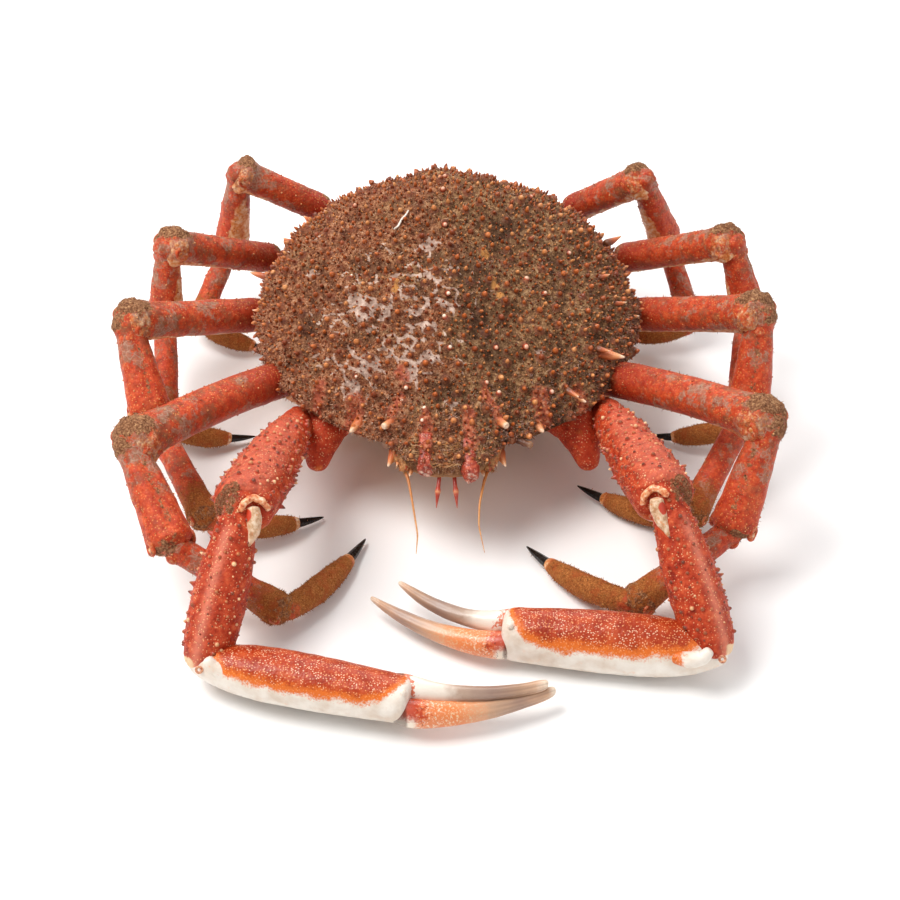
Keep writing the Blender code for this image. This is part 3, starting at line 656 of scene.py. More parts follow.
shell_normals = get_points(body_shell, "normal")
draw = np.random.default_rng(21)
cones = []
for chosen, (profile, sides, thin, thick, low, tall) in zip(mound_sets, TUBERCLES):
    size = draw.uniform(0, 1, len(chosen)) ** 1.4
    aims = shell_normals[chosen] + np.array((0, -0.2, 0.25)) + draw.normal(0, 0.22, (len(chosen), 3))
    feet = shell_points[chosen] - shell_normals[chosen] * TUBERCLE_SINK
    heights = low + (tall - low) * draw.uniform(0, 1, len(chosen)) + TUBERCLE_SINK
    cone = grow("cone", profile, sides)
    cones.append(plant("cones", cone, feet, aims, thin + (thick - thin) * size, heights, 31 + len(cones)))
beady = Finish("tubercle shell", 0.34)
bead = beady.ramp(beady.kept("pick"), {0.0: "803616", 0.35: "ac521e", 0.7: "c8682c", 0.96: "e49a5c"})
foot = beady.mix(0.6, "45190c", bead)
beady.colour = beady.mix(beady.step(beady.ragged(beady.kept("tip"), 0.4, 0.7, 2), 0.25, 0.85), foot, bead)
beady.lay(beady.step(beady.cloud(0.8, 4, 0.7), 0.5, 0.66) * 0.5, "5a3018")
dress(join("shell_tubercles", cones), beady.show(bumps=((beady.cloud(0.5), 0.18),)))

ids = back[nearest(pale_spots, shell_points[back])[1]]
widths, heights, paleness = np.array(PALE_TUBERCLES)[:, 2:].T
feet = shell_points[ids] - shell_normals[ids] * 0.5
aims = shell_normals[ids] + np.array((0, -0.25, 0.3))
cone = grow("cone", PALE_TUBERCLE, 16)
pale_cones = plant("pale_tubercles", cone, feet, aims, widths * 0.85, heights + 0.5, 33)
store(pale_cones, pick=np.repeat(paleness, len(pale_cones.data.vertices) // len(paleness)))
waxy = Finish("pale tubercle shell", 0.25)
tip = waxy.ragged(waxy.kept("tip"), 0.25, 1.0)
pale_tip = waxy.ramp(tip, {0.15: "6e2a18", 0.45: "9c4028", 0.68: "c87450", 0.88: "f2dcc4"})
pink_tip = waxy.ramp(tip, {0.15: "6e2a18", 0.5: "a5452c", 0.85: "dd8a62"})
waxy_tone = waxy.mix(waxy.kept("pick"), pink_tip, pale_tip)
dress(pale_cones, waxy.show(waxy_tone, bumps=((waxy.cloud(0.5), 0.06),)))

# --- Felt of the shell ---
# Short curled hairs of a woolly growth cover the back between its tubercles, and hang over its rim.
# They are thin or missing on the film.
HAIR = ((0, 0.5), (0.5, 0.42), (1.0, 0.07))
HAIR_SIDES = 3
LIGHT_HAIRS = 13900
DARK_HAIRS = 11500
# Neighbouring hairs lie the same way in swirls about this large.
SWIRL = 2.6
# Corners and triangles are put in order along this aim, since modelling leaves them in any order.
ORDER_AIM = np.array((0.83, 0.47, 0.31))


def face_sample(piece, count, weights, seed):
    """Random places on a mesh, more of them where its points weigh more, with the surface's normals."""
    draw = np.random.default_rng(seed)
    piece.data.calc_loop_triangles()
    corners = np.empty(len(piece.data.loop_triangles) * 3, np.int64)
    piece.data.loop_triangles.foreach_get("vertices", corners)
    corners = corners.reshape(-1, 3)
    points = get_points(piece)
    rank = points @ ORDER_AIM
    corners = np.take_along_axis(corners, rank[corners].argsort(axis=1), axis=1)
    corners = corners[rank[corners].sum(axis=1).argsort()]
    a, b, c = (points[corners[:, corner]] for corner in range(3))
    area = np.linalg.norm(np.cross(b - a, c - a), axis=1) * weights[corners].mean(axis=1)
    faces = corners[draw.choice(len(corners), count, p=area / area.sum())]
    split = draw.dirichlet((1, 1, 1), count)[:, :, None]
    out = unit((get_points(piece, "normal")[faces] * split).sum(axis=1))
    return (points[faces] * split).sum(axis=1), out


def hairs(name, piece, count, weights, seed, width, length, lie, swirl):
    """Scatter hairs over a mesh: lie is the way they are combed, swirl how far they are tousled."""
    draw = np.random.default_rng(seed)
    places, out = face_sample(piece, count, weights, seed + 1)
    tousle = np.column_stack([lumps(places, SWIRL, seed % 7 + 11.0 * axis) for axis in range(3)])
    aims = out * 0.55 + np.array(lie) + tousle * 2.2 * swirl + draw.normal(0, 0.3 * swirl, (count, 3))
    aims += out * np.maximum(0.1 - (aims * out).sum(axis=1), 0)[:, None]
    wide, long = (low + (high - low) * draw.uniform(0, 1, count) for low, high in (width, length))
    hair = grow("hair", HAIR, HAIR_SIDES)
    points = get_points(hair)
    points[:, 0] += points[:, 2] ** 2
    set_points(hair, points)
    return plant(name, hair, places - out * 0.15, aims, wide, long, seed + 2)


def wool_finish(name, left_stops, right_stops=None, root="402416"):
    """Hair of one range of browns, or of another range at the right of the picture: greyer there, and darker
    as painted shade.
    """
    wool = Finish(name, 0.9, 0.2)
    shade = wool.kept("pick") * 0.5 + wool.cloud(3.4, 4, 0.65) * 1.1 - 0.3
    wool.colour = wool.ramp(shade, left_stops)
    if right_stops:
        # Partly painted shade: the hair at the right of the picture is darker as well as greyer.
        wool.lay(wool.beyond(0, *FELT_TURN), wool.ramp(shade, right_stops))
        # Paler, greyer felt toward the rear: partly a greyer tone, partly painted light on the rear of the
        # dome.
        wool.lay(wool.beyond(1, 0.01, 0.06) * 0.4, "b49c84")
    wool.lay(wool.step(wool.cloud(4.5, 4, 0.65), 0.48, 0.62) * 0.5, "a0522c")
    return wool.show(wool.mix(wool.step(wool.kept("tip"), 0.0, 0.45), root, wool.colour))


clumps = ease(lumps(shell_points, 2.2, 21.0) + 0.6 * lumps(shell_points, 9.0, 4.0), -0.35, 0.25)
at_rim = ease(SHELL_EDGE_HEIGHT + 16 - shell_points[:, 2], 0, 12)
woolly = on_back * (1 - 0.95 * film) * (1 - 0.75 * mound) * (1 - 0.8 * ridge)
woolly *= ease(shell_points[:, 2], SHELL_EDGE_HEIGHT - 4, SHELL_EDGE_HEIGHT)
# Fewer light hairs grow in the painted shade of the valleys and the small hollows.
lit = woolly * (1 - 0.8 * shaded) * (1 - 0.5 * hollow) * (0.12 + clumps + 3.0 * at_rim)
combed = {"width": (0.24, 0.46), "lie": (0, 0, -0.3), "swirl": 0.9}
light_wool = hairs("light_felt", body_shell, LIGHT_HAIRS, lit, 41, length=(0.7, 1.8), **combed)
woolly *= 0.5 + 0.5 * clumps
dark_wool = hairs("dark_felt", body_shell, DARK_HAIRS, woolly, 51, length=(0.5, 1.2), **combed)
# The right ranges are greyer and darker; the darkness is partly painted shade, on the side away from the key
# lamp.
left_tans = {0.2: "985e42", 0.5: "c29072", 0.8: "deb89c", 1.0: "ecd6c4"}
right_tans = {0.2: "66463a", 0.5: "946f60", 0.8: "b69484", 1.0: "d4beb4"}
left_browns = {0.2: "6c3c28", 0.5: "9c6a4c", 0.8: "bc8e6e", 1.0: "d0a88a"}
right_browns = {0.2: "4c3026", 0.5: "765044", 0.8: "967064", 1.0: "b09086"}
dress(light_wool, wool_finish("tan wool", left_tans, right_tans))
dress(dark_wool, wool_finish("brown wool", left_browns, right_browns))

# --- Spines of the margin and horns of the snout ---
# Stout spines stand out round the shell's rim, felted at the foot, orange-pink above and cream at the
# point.  The two horns of the snout are broken off short and end in a small cream rim.
SPINE_CORE = (0, -12, 40.0)
SPINE = ((0, 1.0), (0.28, 0.84), (0.52, 0.64), (0.74, 0.42), (0.9, 0.24), (1.0, 0.09))
STUB = ((0, 1.0), (0.3, 0.9), (0.6, 0.8), (0.88, 0.74), (1.0, 0.6), (0.985, 0.3))
# Tip x, y and z, length and root radius.  The front spines stand on both sides.
FRONT_SPINES = (
    (34, -76.5, 39, 10, 3.9), (20.5, -88, 33, 9, 2.6), (13, -91, 31, 9, 2.3), (17.5, -88.5, 33.5, 6, 1.6),
)
OTHER_SPINES = (
    (49.5, -63.4, 42, 12, 3.2), (64.2, -45, 48, 15, 3.7),
    (46.5, -66, 46.5, 5, 1.6), (58.5, -44.5, 50.5, 4, 1.5),
    (72, -13, 43, 6, 1.9), (66.5, -16, 51.5, 5, 1.4), (67, 24, 54, 6, 1.9), (60.5, -8, 58.5, 4, 1.3),
    (-56.5, 44, 50, 5, 1.8), (-64, 33, 47, 5, 1.8), (-76.5, 18.5, 41, 10, 2.2), (-73.5, -6.5, 41, 7, 1.9),
    (-70.5, -17, 41, 6, 1.9), (-64, -33, 41, 6, 1.9), (-55, -48, 42, 7, 2.2), (-46, -64, 40, 7, 2.4),
    (9, 69, 44, 5, 2.2), (-9, 69, 44, 5, 2.2),
)
# Spines over the eye sockets, worn down to round ends: foot, end and radius.
SOCKET_SPINES = (((16, -72, 43), (21, -79.5, 44.2), 1.9), ((-16, -72, 43), (-22.3, -79, 43.5), 1.9))
HORN = ((-2, 1.3), (0.15, 1.3), (0.4, 1.22), (0.7, 1.02), (0.92, 0.8), (1.0, 0.64), (0.985, 0.4))
# Each horn's side, root, tip and radius.
HORNS = (
    (-1, (-7.2, -80, 38.5), (-7.4, -93.2, 35), 3.9),
    (1, (7.2, -80, 38.5), (8.4, -96, 34.4), 3.6),
)


def stand(piece, start, end, up=(0.05, 0.1, 1), widths=(1, 1), bow=(0, 0, 0)):
    """Set a shape grown along +Z between two points, flattened by widths and bowed on its way.

    Its +Y comes nearest up."""
    start, end, bow = (np.array(place, float) for place in (start, end, bow))
    points = get_points(piece)
    share = points[:, 2:] / np.linalg.norm(end - start)
    points[:, :2] *= widths
    along = unit(end - start)
    across = unit(np.cross(along, up))
    turn = np.array((across, np.cross(across, along), along))
    set_points(piece, start + points @ turn + bow * 4 * share * (1 - share))
    piece.data.flip_normals()


def spine(foot, tip, radius, seed, profile=SPINE):
    """A spine between two points, a little uneven and bent upwards."""
    whole = math.dist(foot, tip)
    piece = grow("spine", [(share * whole, radius * size) for share, size in profile], 12, 1)
    points = get_points(piece)
    share = np.clip(points[:, 2] / whole, 0, 1)
    points[:, :2] *= (1 + 0.14 * lumps(points, radius, seed))[:, None]
    points[:, 1] -= 0.1 * whole * share * (1 - share)
    set_points(piece, points)
    store(piece, tip=share, pick=(seed * 0.37) % 1)
    stand(piece, foot, tip)
    return piece


rim = []
mirrored = tuple((side * x, *rest) for x, *rest in FRONT_SPINES for side in (-1, 1))
for *tip, length, radius in mirrored + OTHER_SPINES:
    aim = unit(np.array(tip) - SPINE_CORE)
    rim.append(spine(np.array(tip) - aim * (length + radius), tip, radius, len(rim) + 0.5))
for foot, tip, radius in SOCKET_SPINES:
    rim.append(spine(foot, tip, radius, len(rim) + 0.5, STUB))
rosy = Finish("rosy spine shell", 0.36)
rosy_stops = {0.25: "6b3a20", 0.45: "9e4c28", 0.66: "c66a3c", 0.86: "de9662", 0.98: "f0d2b4"}
rosy_tone = rosy.ramp(rosy.ragged(rosy.kept("tip"), 0.16, 1.6), rosy_stops)
rosy_bumps = ((rosy.cloud(0.5), 0.15), (rosy.cloud(1.6, 2), 0.2))
dress(join("rim_spines", rim), rosy.show(rosy_tone, bumps=rosy_bumps))

horns = []
for side, root, tip, radius in HORNS:
    whole = math.dist(root, tip)
    stations = [(share * whole if share > 0 else share, radius * size) for share, size in HORN]
    horn = grow("horn", stations, 16, 2)
    points = get_points(horn)
    share = np.clip(points[:, 2] / whole, 0, 1)
    points[:, :2] *= (1 + 0.13 * lumps(points, 2.4, side * 4.0))[:, None]
    points[:, 2] += (0.7 * lumps(points, 1.8, side * 7.0) - 0.25 * points[:, 1]) * ease(share, 0.8, 1)
    set_points(horn, points)
    store(horn, tip=share, pick=0.5)
    stand(horn, root, tip)
    horns.append(horn)
ruddy = Finish("ruddy horn shell", 0.4)
ruddy.colour = ruddy.ramp(ruddy.cloud(1.5), {0.32: "7a2414", 0.5: "a63c24", 0.7: "c8603f"})
ruddy.lay(ruddy.step(ruddy.ragged(ruddy.spots(0.8), 0.4, 2.0, 2), 0.3, 0.12) * 0.6, "e8b79c")
ruddy.lay(ruddy.step(ruddy.ragged(ruddy.kept("tip"), 0.06, 1.2), 0.985, 1.0) * 0.85, "f0d6bf")
dress(join("snout_horns", horns), ruddy.show(bumps=((ruddy.cloud(0.6), 0.22), (ruddy.spots(0.8), 0.12))))

# --- Hooked bristles of the snout and shell growths ---
# Between and beside the horns stand rows of golden bristles, each bent over like a hook.  A white worm
# tube lies on the rear of the back, where it grew.
BRISTLE_STEPS = 8
BRISTLE_TURN = 2.3
BRISTLE_WIDTH = 0.22
BRISTLE_ROW = 0.9
BRISTLES_PER_FIELD = 120
# Fields of bristles: middle x and y, half widths, and the way in which they bend.
BRISTLE_FIELDS = (
    (-2.6, -89.5, 2.4, 4.5, 0), (2.6, -89.5, 2.4, 4.5, math.pi),
    (-12.6, -86.5, 1.4, 4.0, 0), (13.0, -86.5, 1.4, 4.5, math.pi),
)
WORM_PATH = ((-19.7, -2.5, 74.6), (-18, -1.2, 75.2), (-16.6, 2.2, 76.3), (-15.4, 3.6, 76.7), (-14.2, 6.8, 77))
WORM_RADII = (0.25, 0.4, 0.42, 0.4, 0.3)


def wander(path, radii, name, sides=16, levels=2, steps=9):
    """A shape grown along +Z and then led along a path of points, as thick as the radii say."""
    path = np.array(path, float)
    reach = np.concatenate(((0,), np.cumsum(np.linalg.norm(np.diff(path, axis=0), axis=1))))
    marks = np.linspace(0, reach[-1], steps)
    piece = grow(name, [(mark, float(np.interp(mark, reach, radii))) for mark in marks], sides, levels)
    points = get_points(piece)
    share = np.clip(points[:, 2] / reach[-1], 0, 1)
    curve = np.column_stack([np.interp(np.linspace(0, reach[-1], 60), reach, row) for row in path.T])
    for rounds in range(6):
        curve[1:-1] = (curve[:-2] + 2 * curve[1:-1] + curve[2:]) / 4
    at = share * (len(curve) - 1)
    centre, along = (
        np.column_stack([np.interp(at, np.arange(len(curve)), row) for row in rows.T])
        for rows in (curve, unit(np.gradient(curve, axis=0)))
    )
    across = unit(np.cross(along, (0.0, 0.5, 1.0)))
    set_points(piece, centre + points[:, :1] * across + points[:, 1:2] * np.cross(across, along))
    piece.data.flip_normals()
    return piece, points, share


bristle_sets = []
for middle_x, middle_y, half_x, half_y, bend in BRISTLE_FIELDS:
    draw = np.random.default_rng(61 + len(bristle_sets))
    marks = np.arange(BRISTLE_STEPS + 1) / BRISTLE_STEPS
    bristle = grow("bristle", [(mark, 0.5 - 0.4 * mark) for mark in marks.tolist()], 4)
    x, y, z = get_points(bristle).T
    angle = z * BRISTLE_TURN
    bent_x = (1 - np.cos(angle)) / BRISTLE_TURN + x * BRISTLE_WIDTH * np.cos(angle)
    bent_z = np.sin(angle) / BRISTLE_TURN - x * BRISTLE_WIDTH * np.sin(angle)
    set_points(bristle, np.column_stack((bent_x, y * BRISTLE_WIDTH, bent_z)))
    count = BRISTLES_PER_FIELD
    foot_x = middle_x + draw.uniform(-half_x, half_x, count)
    row = np.round(draw.uniform(-half_y, half_y, count) / BRISTLE_ROW) * BRISTLE_ROW
    foot_y = middle_y + row + draw.normal(0, 0.22, count)
    feet = np.stack((foot_x, foot_y, shell_height(foot_x, foot_y) - 0.2), axis=1)
    long = draw.uniform(1.5, 3.0, count)[:, None]
    twist = (draw.normal(0, 0.6, count) + bend)[:, None]

    def spread(shape):
        x, y, z = shape.T[:, None] * long
        places = (x * np.cos(twist) - y * np.sin(twist), x * np.sin(twist) + y * np.cos(twist) - 0.35 * z, z)
        return feet[:, None] + np.stack(places, axis=2)

    bristle_sets.append(copies("bristles", bristle, spread, draw))
golden = {0.15: "8c5a34", 0.5: "b98758", 0.9: "dcb68c"}
dress(join("snout_bristles", bristle_sets), wool_finish("golden bristle", golden))

worm_tube, *shape = wander(WORM_PATH, WORM_RADII, "worm_tube", 10, 1, 12)
chalk = Finish("worm tube chalk", 0.6)
dress(worm_tube, chalk.show(chalk.ramp(chalk.cloud(1.0), {0.3: "cdbfae", 0.6: "f2ebe0"})))

# --- Walking legs ---
# Four pairs of round jointed legs, of coral-red shell with a pale worn film.  Brown felt grows at
# their knees and on the last article, which ends in a bare black claw.  Knobs hinge each joint.
LEG_LENGTHS = ((76, 39, 43, 52), (62, 34, 48.5, 45), (55, 29, 49.5, 34), (38, 34, 37.5, 33))
LEG_SIZES = (1.0, 0.96, 0.88, 0.85)
LEG_RADII = (7.9, 7.5, 5.7, 4.4)
LEG_STARTS = ((60, -38, 33), (71, 3, 32), (70, 41, 32), (50, 61, 42))
LEG_ROOTS = ((36, -30, 17), (40, -2, 17), (38, 24, 17), (30, 44, 22))
# Heading (0 straight out, -90 straight ahead) and lift of each article, in degrees.
LEG_POSES = {
    -1: (
        ((-50, 12), (-118, -30), (-164, -28), (121, -8)),
        ((-39, 22), (-111, -46), (-120, -20), (158, -17)),
        ((-42, 30), (-41, -82), (-94, -25), (173, -13)),
        ((-9, 32), (23, -80), (-68, -30), (-165, -14)),
    ),
    1: (
        ((-47, 17), (-123, -57), (-146, -17), (134, -9)),
        ((-41, 26), (-101, -61), (-123, -28), (150, -5)),
        ((-38, 30), (-31, -71), (-99, -27), (174, -13)),
        ((-30, 38), (30, -67), (-70, -38), (173, -15)),
    ),
}
MERUS_ARCHES = (2.0, 0.0, 0.0, 0.0)
DACTYL_BOW = 0.095
CLAW_LENGTH = 10.5
CLAW_RADIUS = 1.9
HIP_SHARE = 1.12
LIMB_OVAL = (1.0, 0.96)
# How much of its worn film each side's legs keep.
WEAR = {-1: 1.0, 1: 0.75}
# Profiles: share of the article's length and share of its radius.
HIP = ((0.0, 0.85), (0.35, 1.0), (0.75, 0.95), (1.0, 0.8))
MERUS = (
    (-0.04, 0.7), (0.0, 0.88), (0.06, 0.93), (0.3, 0.93), (0.6, 0.94), (0.82, 0.97),
    (0.88, 1.04), (0.93, 1.2), (0.985, 1.2), (1.02, 1.02), (1.05, 0.66),
)
CARPUS = (
    (-0.12, 0.5), (-0.05, 0.78), (0.03, 0.9), (0.12, 0.74), (0.25, 0.82), (0.5, 0.94),
    (0.75, 1.02), (0.88, 1.1), (0.96, 1.12), (1.01, 0.92), (1.05, 0.6),
)
PROPODUS = (
    (-0.1, 0.5), (-0.03, 0.8), (0.04, 0.94), (0.12, 0.82), (0.3, 0.92), (0.6, 0.93),
    (0.82, 0.99), (0.92, 1.14), (0.98, 1.14), (1.03, 0.86), (1.07, 0.5),
)
# The dactyl's shares are of its length up to the claw.
DACTYL = (
    (-0.1, 0.5), (-0.03, 0.86), (0.06, 1.02), (0.13, 0.94), (0.38, 1.13),
    (0.64, 1.06), (0.84, 0.86), (0.96, 0.62), (1.0, 0.5),
)
CLAW = ((-0.3, 0.7), (-0.1, 0.98), (0.0, 1.0), (0.3, 0.84), (0.6, 0.6), (0.85, 0.34), (1.0, 0.12))
KNOB = ((0, 1.0), (0.4, 0.96), (0.8, 0.7), (1.0, 0.25))
LEG_HAIRS = 1450
VELVET_HAIRS = 1400
GRANULES = 190


def chain_points(start, lengths, poses, side):
    """Joint positions of a limb, from its start and its articles' lengths, headings and lifts."""
    joints = [np.array(start, float) * (side, 1, 1)]
    for length, pose in zip(lengths, poses):
        heading, lift = np.radians(pose)
        aim = np.array((side * np.cos(heading), np.sin(heading), np.tan(lift))) * np.cos(lift)
        joints.append(joints[-1] + aim * length)
    return joints


def article(name, ends, radius, profile, sides=14, levels=2):
    """One article grown along +Z, with its points, and their share of its length, height and radius."""
    whole = math.dist(*ends)
    piece = grow(name, [(share * whole, radius * size) for share, size in profile], sides, levels)
    points = get_points(piece)
    return piece, points, points[:, 2] / whole


def relief(points, seed, coarse=0.25, fine=0.12):
    """Push points in and out from the middle of the article, as natural shell is uneven."""
    out = points * (1, 1, 0)
    push = coarse * lumps(points, 4.5, seed) + fine * lumps(points, 1.6, seed + 5)
    return points + out / (np.linalg.norm(out, axis=1) + 0.01)[:, None] * push[:, None]


def knob(place, aim, radius):
    """A low round hinge knob on the flank of a joint."""
    model = grow("knob", [(radius * height, radius * size) for height, size in KNOB], 10, 1)
    stand(model, place - np.array(aim) * radius * 0.3, place + np.array(aim) * radius, (0.1, 0.2, 1))
    return model


def ring(place, aim, radius, thickness):
    """The thick round lip of a hinge socket."""
    pick_alone()
    sizes = {"major_radius": radius * MM, "minor_radius": thickness * MM}
    bpy.ops.mesh.primitive_torus_add(**sizes, major_segments=24, minor_segments=10)
    bpy.ops.object.shade_smooth()
    model = bpy.context.object
    points = get_points(model)
    set_points(model, points * (1 + 0.06 * lumps(points, 1.5, radius))[:, None])
    stand(model, place, np.array(place) + aim, (0.1, 0.2, 1))
    return model


def make_leg(side, number):
    """One walking leg as a single piece, with the masks of its finish."""
    size = LEG_SIZES[number]
    hip = np.array(LEG_ROOTS[number], float) * (side, 1, 1)
    joints = chain_points(LEG_STARTS[number], LEG_LENGTHS[number], LEG_POSES[side][number], side)
    start, knee, ankle, knuckle, tip = joints
    merus, carpus, propodus, dactyl = (radius * size for radius in LEG_RADII)
    seed = 10.0 * number + 3.3 * side
    parts = []

    def begin(name, ends, radius, profile, shift=0, sides=14):
        """Grow an article; give its points, share, lower and front side, and lumps for ragged edges."""
        piece, points, share = article(name, ends, radius, profile, sides)
        low, front = -points[:, 1] / radius, side * points[:, 0] / radius
        return piece, points, share, low, front, lumps(points, 3.0, seed + shift)

    def end(piece, points, ends, bow=(0, 0, 0), **masks):
        store(piece, **masks)
        set_points(piece, points)
        stand(piece, *ends, widths=LIMB_OVAL, bow=bow)
        parts.append(piece)

    ends = (hip, start)
    piece, points, share, low, front, ragged = begin("hip", ends, merus * HIP_SHARE, HIP)
    end(piece, relief(points, seed), ends, felt=0.35, cream=ease(low * HIP_SHARE, -0.4, 0.8), root=1.0)

    # Merus: a darker crimson by the body, painted shade where the leg goes in under the shell, flared at the
    # knee, with a cream lower edge and a felted end.
    ends = (start, knee)
    piece, points, share, low, front, ragged = begin("merus", ends, merus, MERUS)
    ragged = 0.05 * ragged + 0.03 * lumps(points, 1.2, seed + 9)
    collar = ease(share + ragged, 0.88, 0.94)
    tufted = collar * ease(-low - 0.7 * front + 5 * ragged, 0.0, 0.8)
    top = np.maximum(ease(-low, 0.55, 0.95), ease(share + 3 * ragged, 0.6, 0.95))
    felt = 0.8 * tufted + 0.5 * ease(0.06 - share + ragged, 0, 0.05) + 0.34 * ease(-low + ragged, 0.5, 1)
    cream = ease(low + 3 * ragged + 0.25 * ease(share, 0.5, 1), 0.45, 0.95)
    film = ease(share, 0.15, 0.4) * ease(front + 0.6, 0, 0.6) * (0.7 + 0.6 * ease(share, 0.5, 0.85))
    points = relief(points, seed, 0.35)
    points[:, :2] *= (1 + 0.16 * collar * lumps(points, 2.4, seed))[:, None]
    end(
        piece, points, ends, (0, 0, MERUS_ARCHES[number]), felt=np.clip(felt, 0, 1),
        cream=np.maximum(cream, 0.5 * collar) * (1 - tufted), root=ease(0.5 - share, 0, 0.45),
        film=WEAR[side] * film, speck=0.35 + 0.65 * top * (1 - ease(low, 0.4, 0.8)),
    )

    # Carpus: a groove along its top, orange and white mottling toward its lower front end.
    ends = (knee, ankle)
    piece, points, share, low, front, ragged = begin("carpus", ends, carpus, CARPUS, 2)
    ragged *= 0.06
    groove = hill(front / 0.25) * (low < 0) * ease(share, 0.1, 0.25) * ease(1 - share, 0.05, 0.2)
    brims = np.maximum(ease(0.13 - share + ragged, 0, 0.08), ease(share + ragged, 0.93, 0.98))
    felt = 0.75 * brims * ease(4 * ragged - 0.4 * front, -0.3, 0.3) + 0.5 * groove
    cream = low + 3 * ragged + 0.9 * ease(share, 0.35, 1) * ease(1 - np.abs(front), 0, 0.9)
    points = relief(points, seed + 2, 0.35)
    points[:, :2] *= (1 + 0.12 * brims * lumps(points, 2.4, seed))[:, None]
    points[:, 1] -= groove * 0.75
    end(
        piece, points, ends, felt=np.clip(felt, 0, 1), cream=ease(cream, 0.55, 1.05),
        film=WEAR[side] * 1.1 * ease(1 - share, 0.3, 0.7), speck=0.5 + 0.4 * ease(share, 0.5, 1.0),
    )

    # Propodus: velvet grows toward its far end.
    ends = (ankle, knuckle)
    piece, points, share, low, front, ragged = begin("propodus", ends, propodus, PROPODUS, 4)
    ragged *= 0.1
    far = ease(share + ragged, 0.45, 1.0)
    felt = 0.6 * ease(0.1 - share + ragged, 0, 0.1) + 0.55 * ease(share + ragged, 0.88, 0.95)
    points = relief(points, seed + 4, 0.35)
    points[:, :2] *= (1 + 0.14 * ease(share, 0.85, 0.95) * lumps(points, 2.2, seed))[:, None]
    end(
        piece, points, ends, felt=np.clip(felt, 0, 1), cream=ease(low + 2 * ragged, 0.5, 1.0) * (1 - far),
        film=WEAR[side] * 0.8, velvet=0.75 * far, speck=0.4,
    )

    # Dactyl: covered in golden-brown velvet, with a bare black claw at its end.
    ends = (knuckle, tip)
    length = math.dist(*ends)
    bow = (0, -DACTYL_BOW * length, 0)
    root = 1 - CLAW_LENGTH * size / length
    profile = [(share * (root + 0.01), radius) for share, radius in DACTYL]
    piece, points, share, low, front, ragged = begin("dactyl", ends, dactyl, profile)
    rim = ease(share + 0.01 * lumps(points, 1.5, seed), root - 0.07, root - 0.03)
    bare = ease(0.14 - share + 0.05 * lumps(points, 2.5, seed + 3), 0, 0.08)
    velvet = (1 - 0.7 * rim) * (1 - 0.6 * bare)
    points = relief(points, seed + 6)
    end(piece, points, ends, bow, velvet=velvet, cream=rim * 0.7, speck=0.5, felt=0.4 * bare)
    profile = [(root + (1 - root) * share, radius) for share, radius in CLAW]
    piece, points, share, low, front, ragged = begin("claw", ends, CLAW_RADIUS * size, profile, sides=12)
    points[:, :2] *= (1 - 0.07 * np.cos(6 * np.arctan2(points[:, 1], points[:, 0])))[:, None]
    end(piece, points, ends, bow, claw=ease(share, root - 0.02, root + 0.02), cream=0.6)

    # Hinges: a knob in a thick-lipped socket on each flank of every joint, and two lobes over it.
    for i, radius in enumerate((merus, carpus, propodus)):
        before, joint, after = joints[i : i + 3]
        along = unit(joint - before)
        onward = unit(after - joint)
        across = unit(np.cross(along, (0.05, 0.1, 1)))
        outward = -np.cross(onward, np.cross(onward, along))
        for flank in (-1, 1):
            place = joint - along * 1.4 + across * flank * radius * 0.98
            parts.append(ring(place, across * flank, 0.27 * radius, 0.12 * radius))
            store(parts[-1], cream=0.45, felt=0.3, speck=0.4)
            parts.append(knob(place + along * 0.6, across * flank, 0.19 * radius))
            store(parts[-1], cream=0.8, speck=0.2)
        for flank in (-1, 1):
            place = joint + (onward * 0.65 + across * flank * 0.35 - along * 0.2 + outward * 0.55) * radius
            parts.append(knob(place, outward, 0.36 * radius))
            store(parts[-1], cream=0.4, speck=1.0)
    side_name = "left" if side < 0 else "right"
    return join(f"{side_name}_leg_{number + 1}", parts)


def kept_by(piece, name):
    """The number that a piece keeps for each of its points under a name."""
    values = np.empty(len(piece.data.vertices), np.float32)
    piece.data.attributes[name].data.foreach_get("value", values)
    return values.astype(float)


coral = Finish("coral leg shell", 0.5, 0.25)
filminess = coral.kept("film")
filmed = coral.step(filminess, 0.05, 0.5)
coral_stops = {0.26: "84210c", 0.44: "b2391a", 0.6: "cc5028", 0.78: "e27a48"}
coral.colour = coral.ramp(coral.cloud(2.6, 5, 0.72), coral_stops)
# Painted shade: the legs are darkened near the body, where they go in under the shell.
coral.lay(coral.kept("root") * 0.7, "86200e")
coral.lay(coral.step(coral.cloud(5.0, 5, 0.72), 0.48, 0.64) * (0.25 + 0.45 * filminess), "84583a")
coral.lay(coral.step(coral.spots(1.05), 0.32, 0.14) * coral.kept("speck") * 0.75, "e8a05a")
coral.lay(coral.step(coral.cloud(4.5, 5, 0.7) + filminess * 0.08, 0.56, 0.7) * filmed * 0.5, "6b4430")
worn_film = coral.step(coral.cloud(7.5, 5, 0.68) + filminess * 0.1, 0.6, 0.66) * filmed
coral.lay(worn_film * coral.step(coral.cloud(0.9, 4, 0.7), 0.34, 0.5) * 0.65, "96725c")
threads = coral.step(coral.spots(2.4, (1, 1.3, 1), "DISTANCE_TO_EDGE"), 0.1, 0.03)
coral.lay(worn_film * threads * 0.2, "d0b8a4")
cream_stops = {0.33: "b85a24", 0.46: "d08548", 0.58: "ddb084", 0.72: "ecd9c0"}
cream_tone = coral.ramp(coral.cloud(2.0, 4, 0.6), cream_stops)
coral.lay(coral.step(coral.ragged(coral.kept("cream"), 1.1, 1.4, 4, 0.7), 0.35, 0.75), cream_tone)
velvet_tone = coral.ramp(coral.cloud(0.5, 4, 0.65), {0.3: "6e3a18", 0.5: "9c5a28", 0.72: "c68648"})
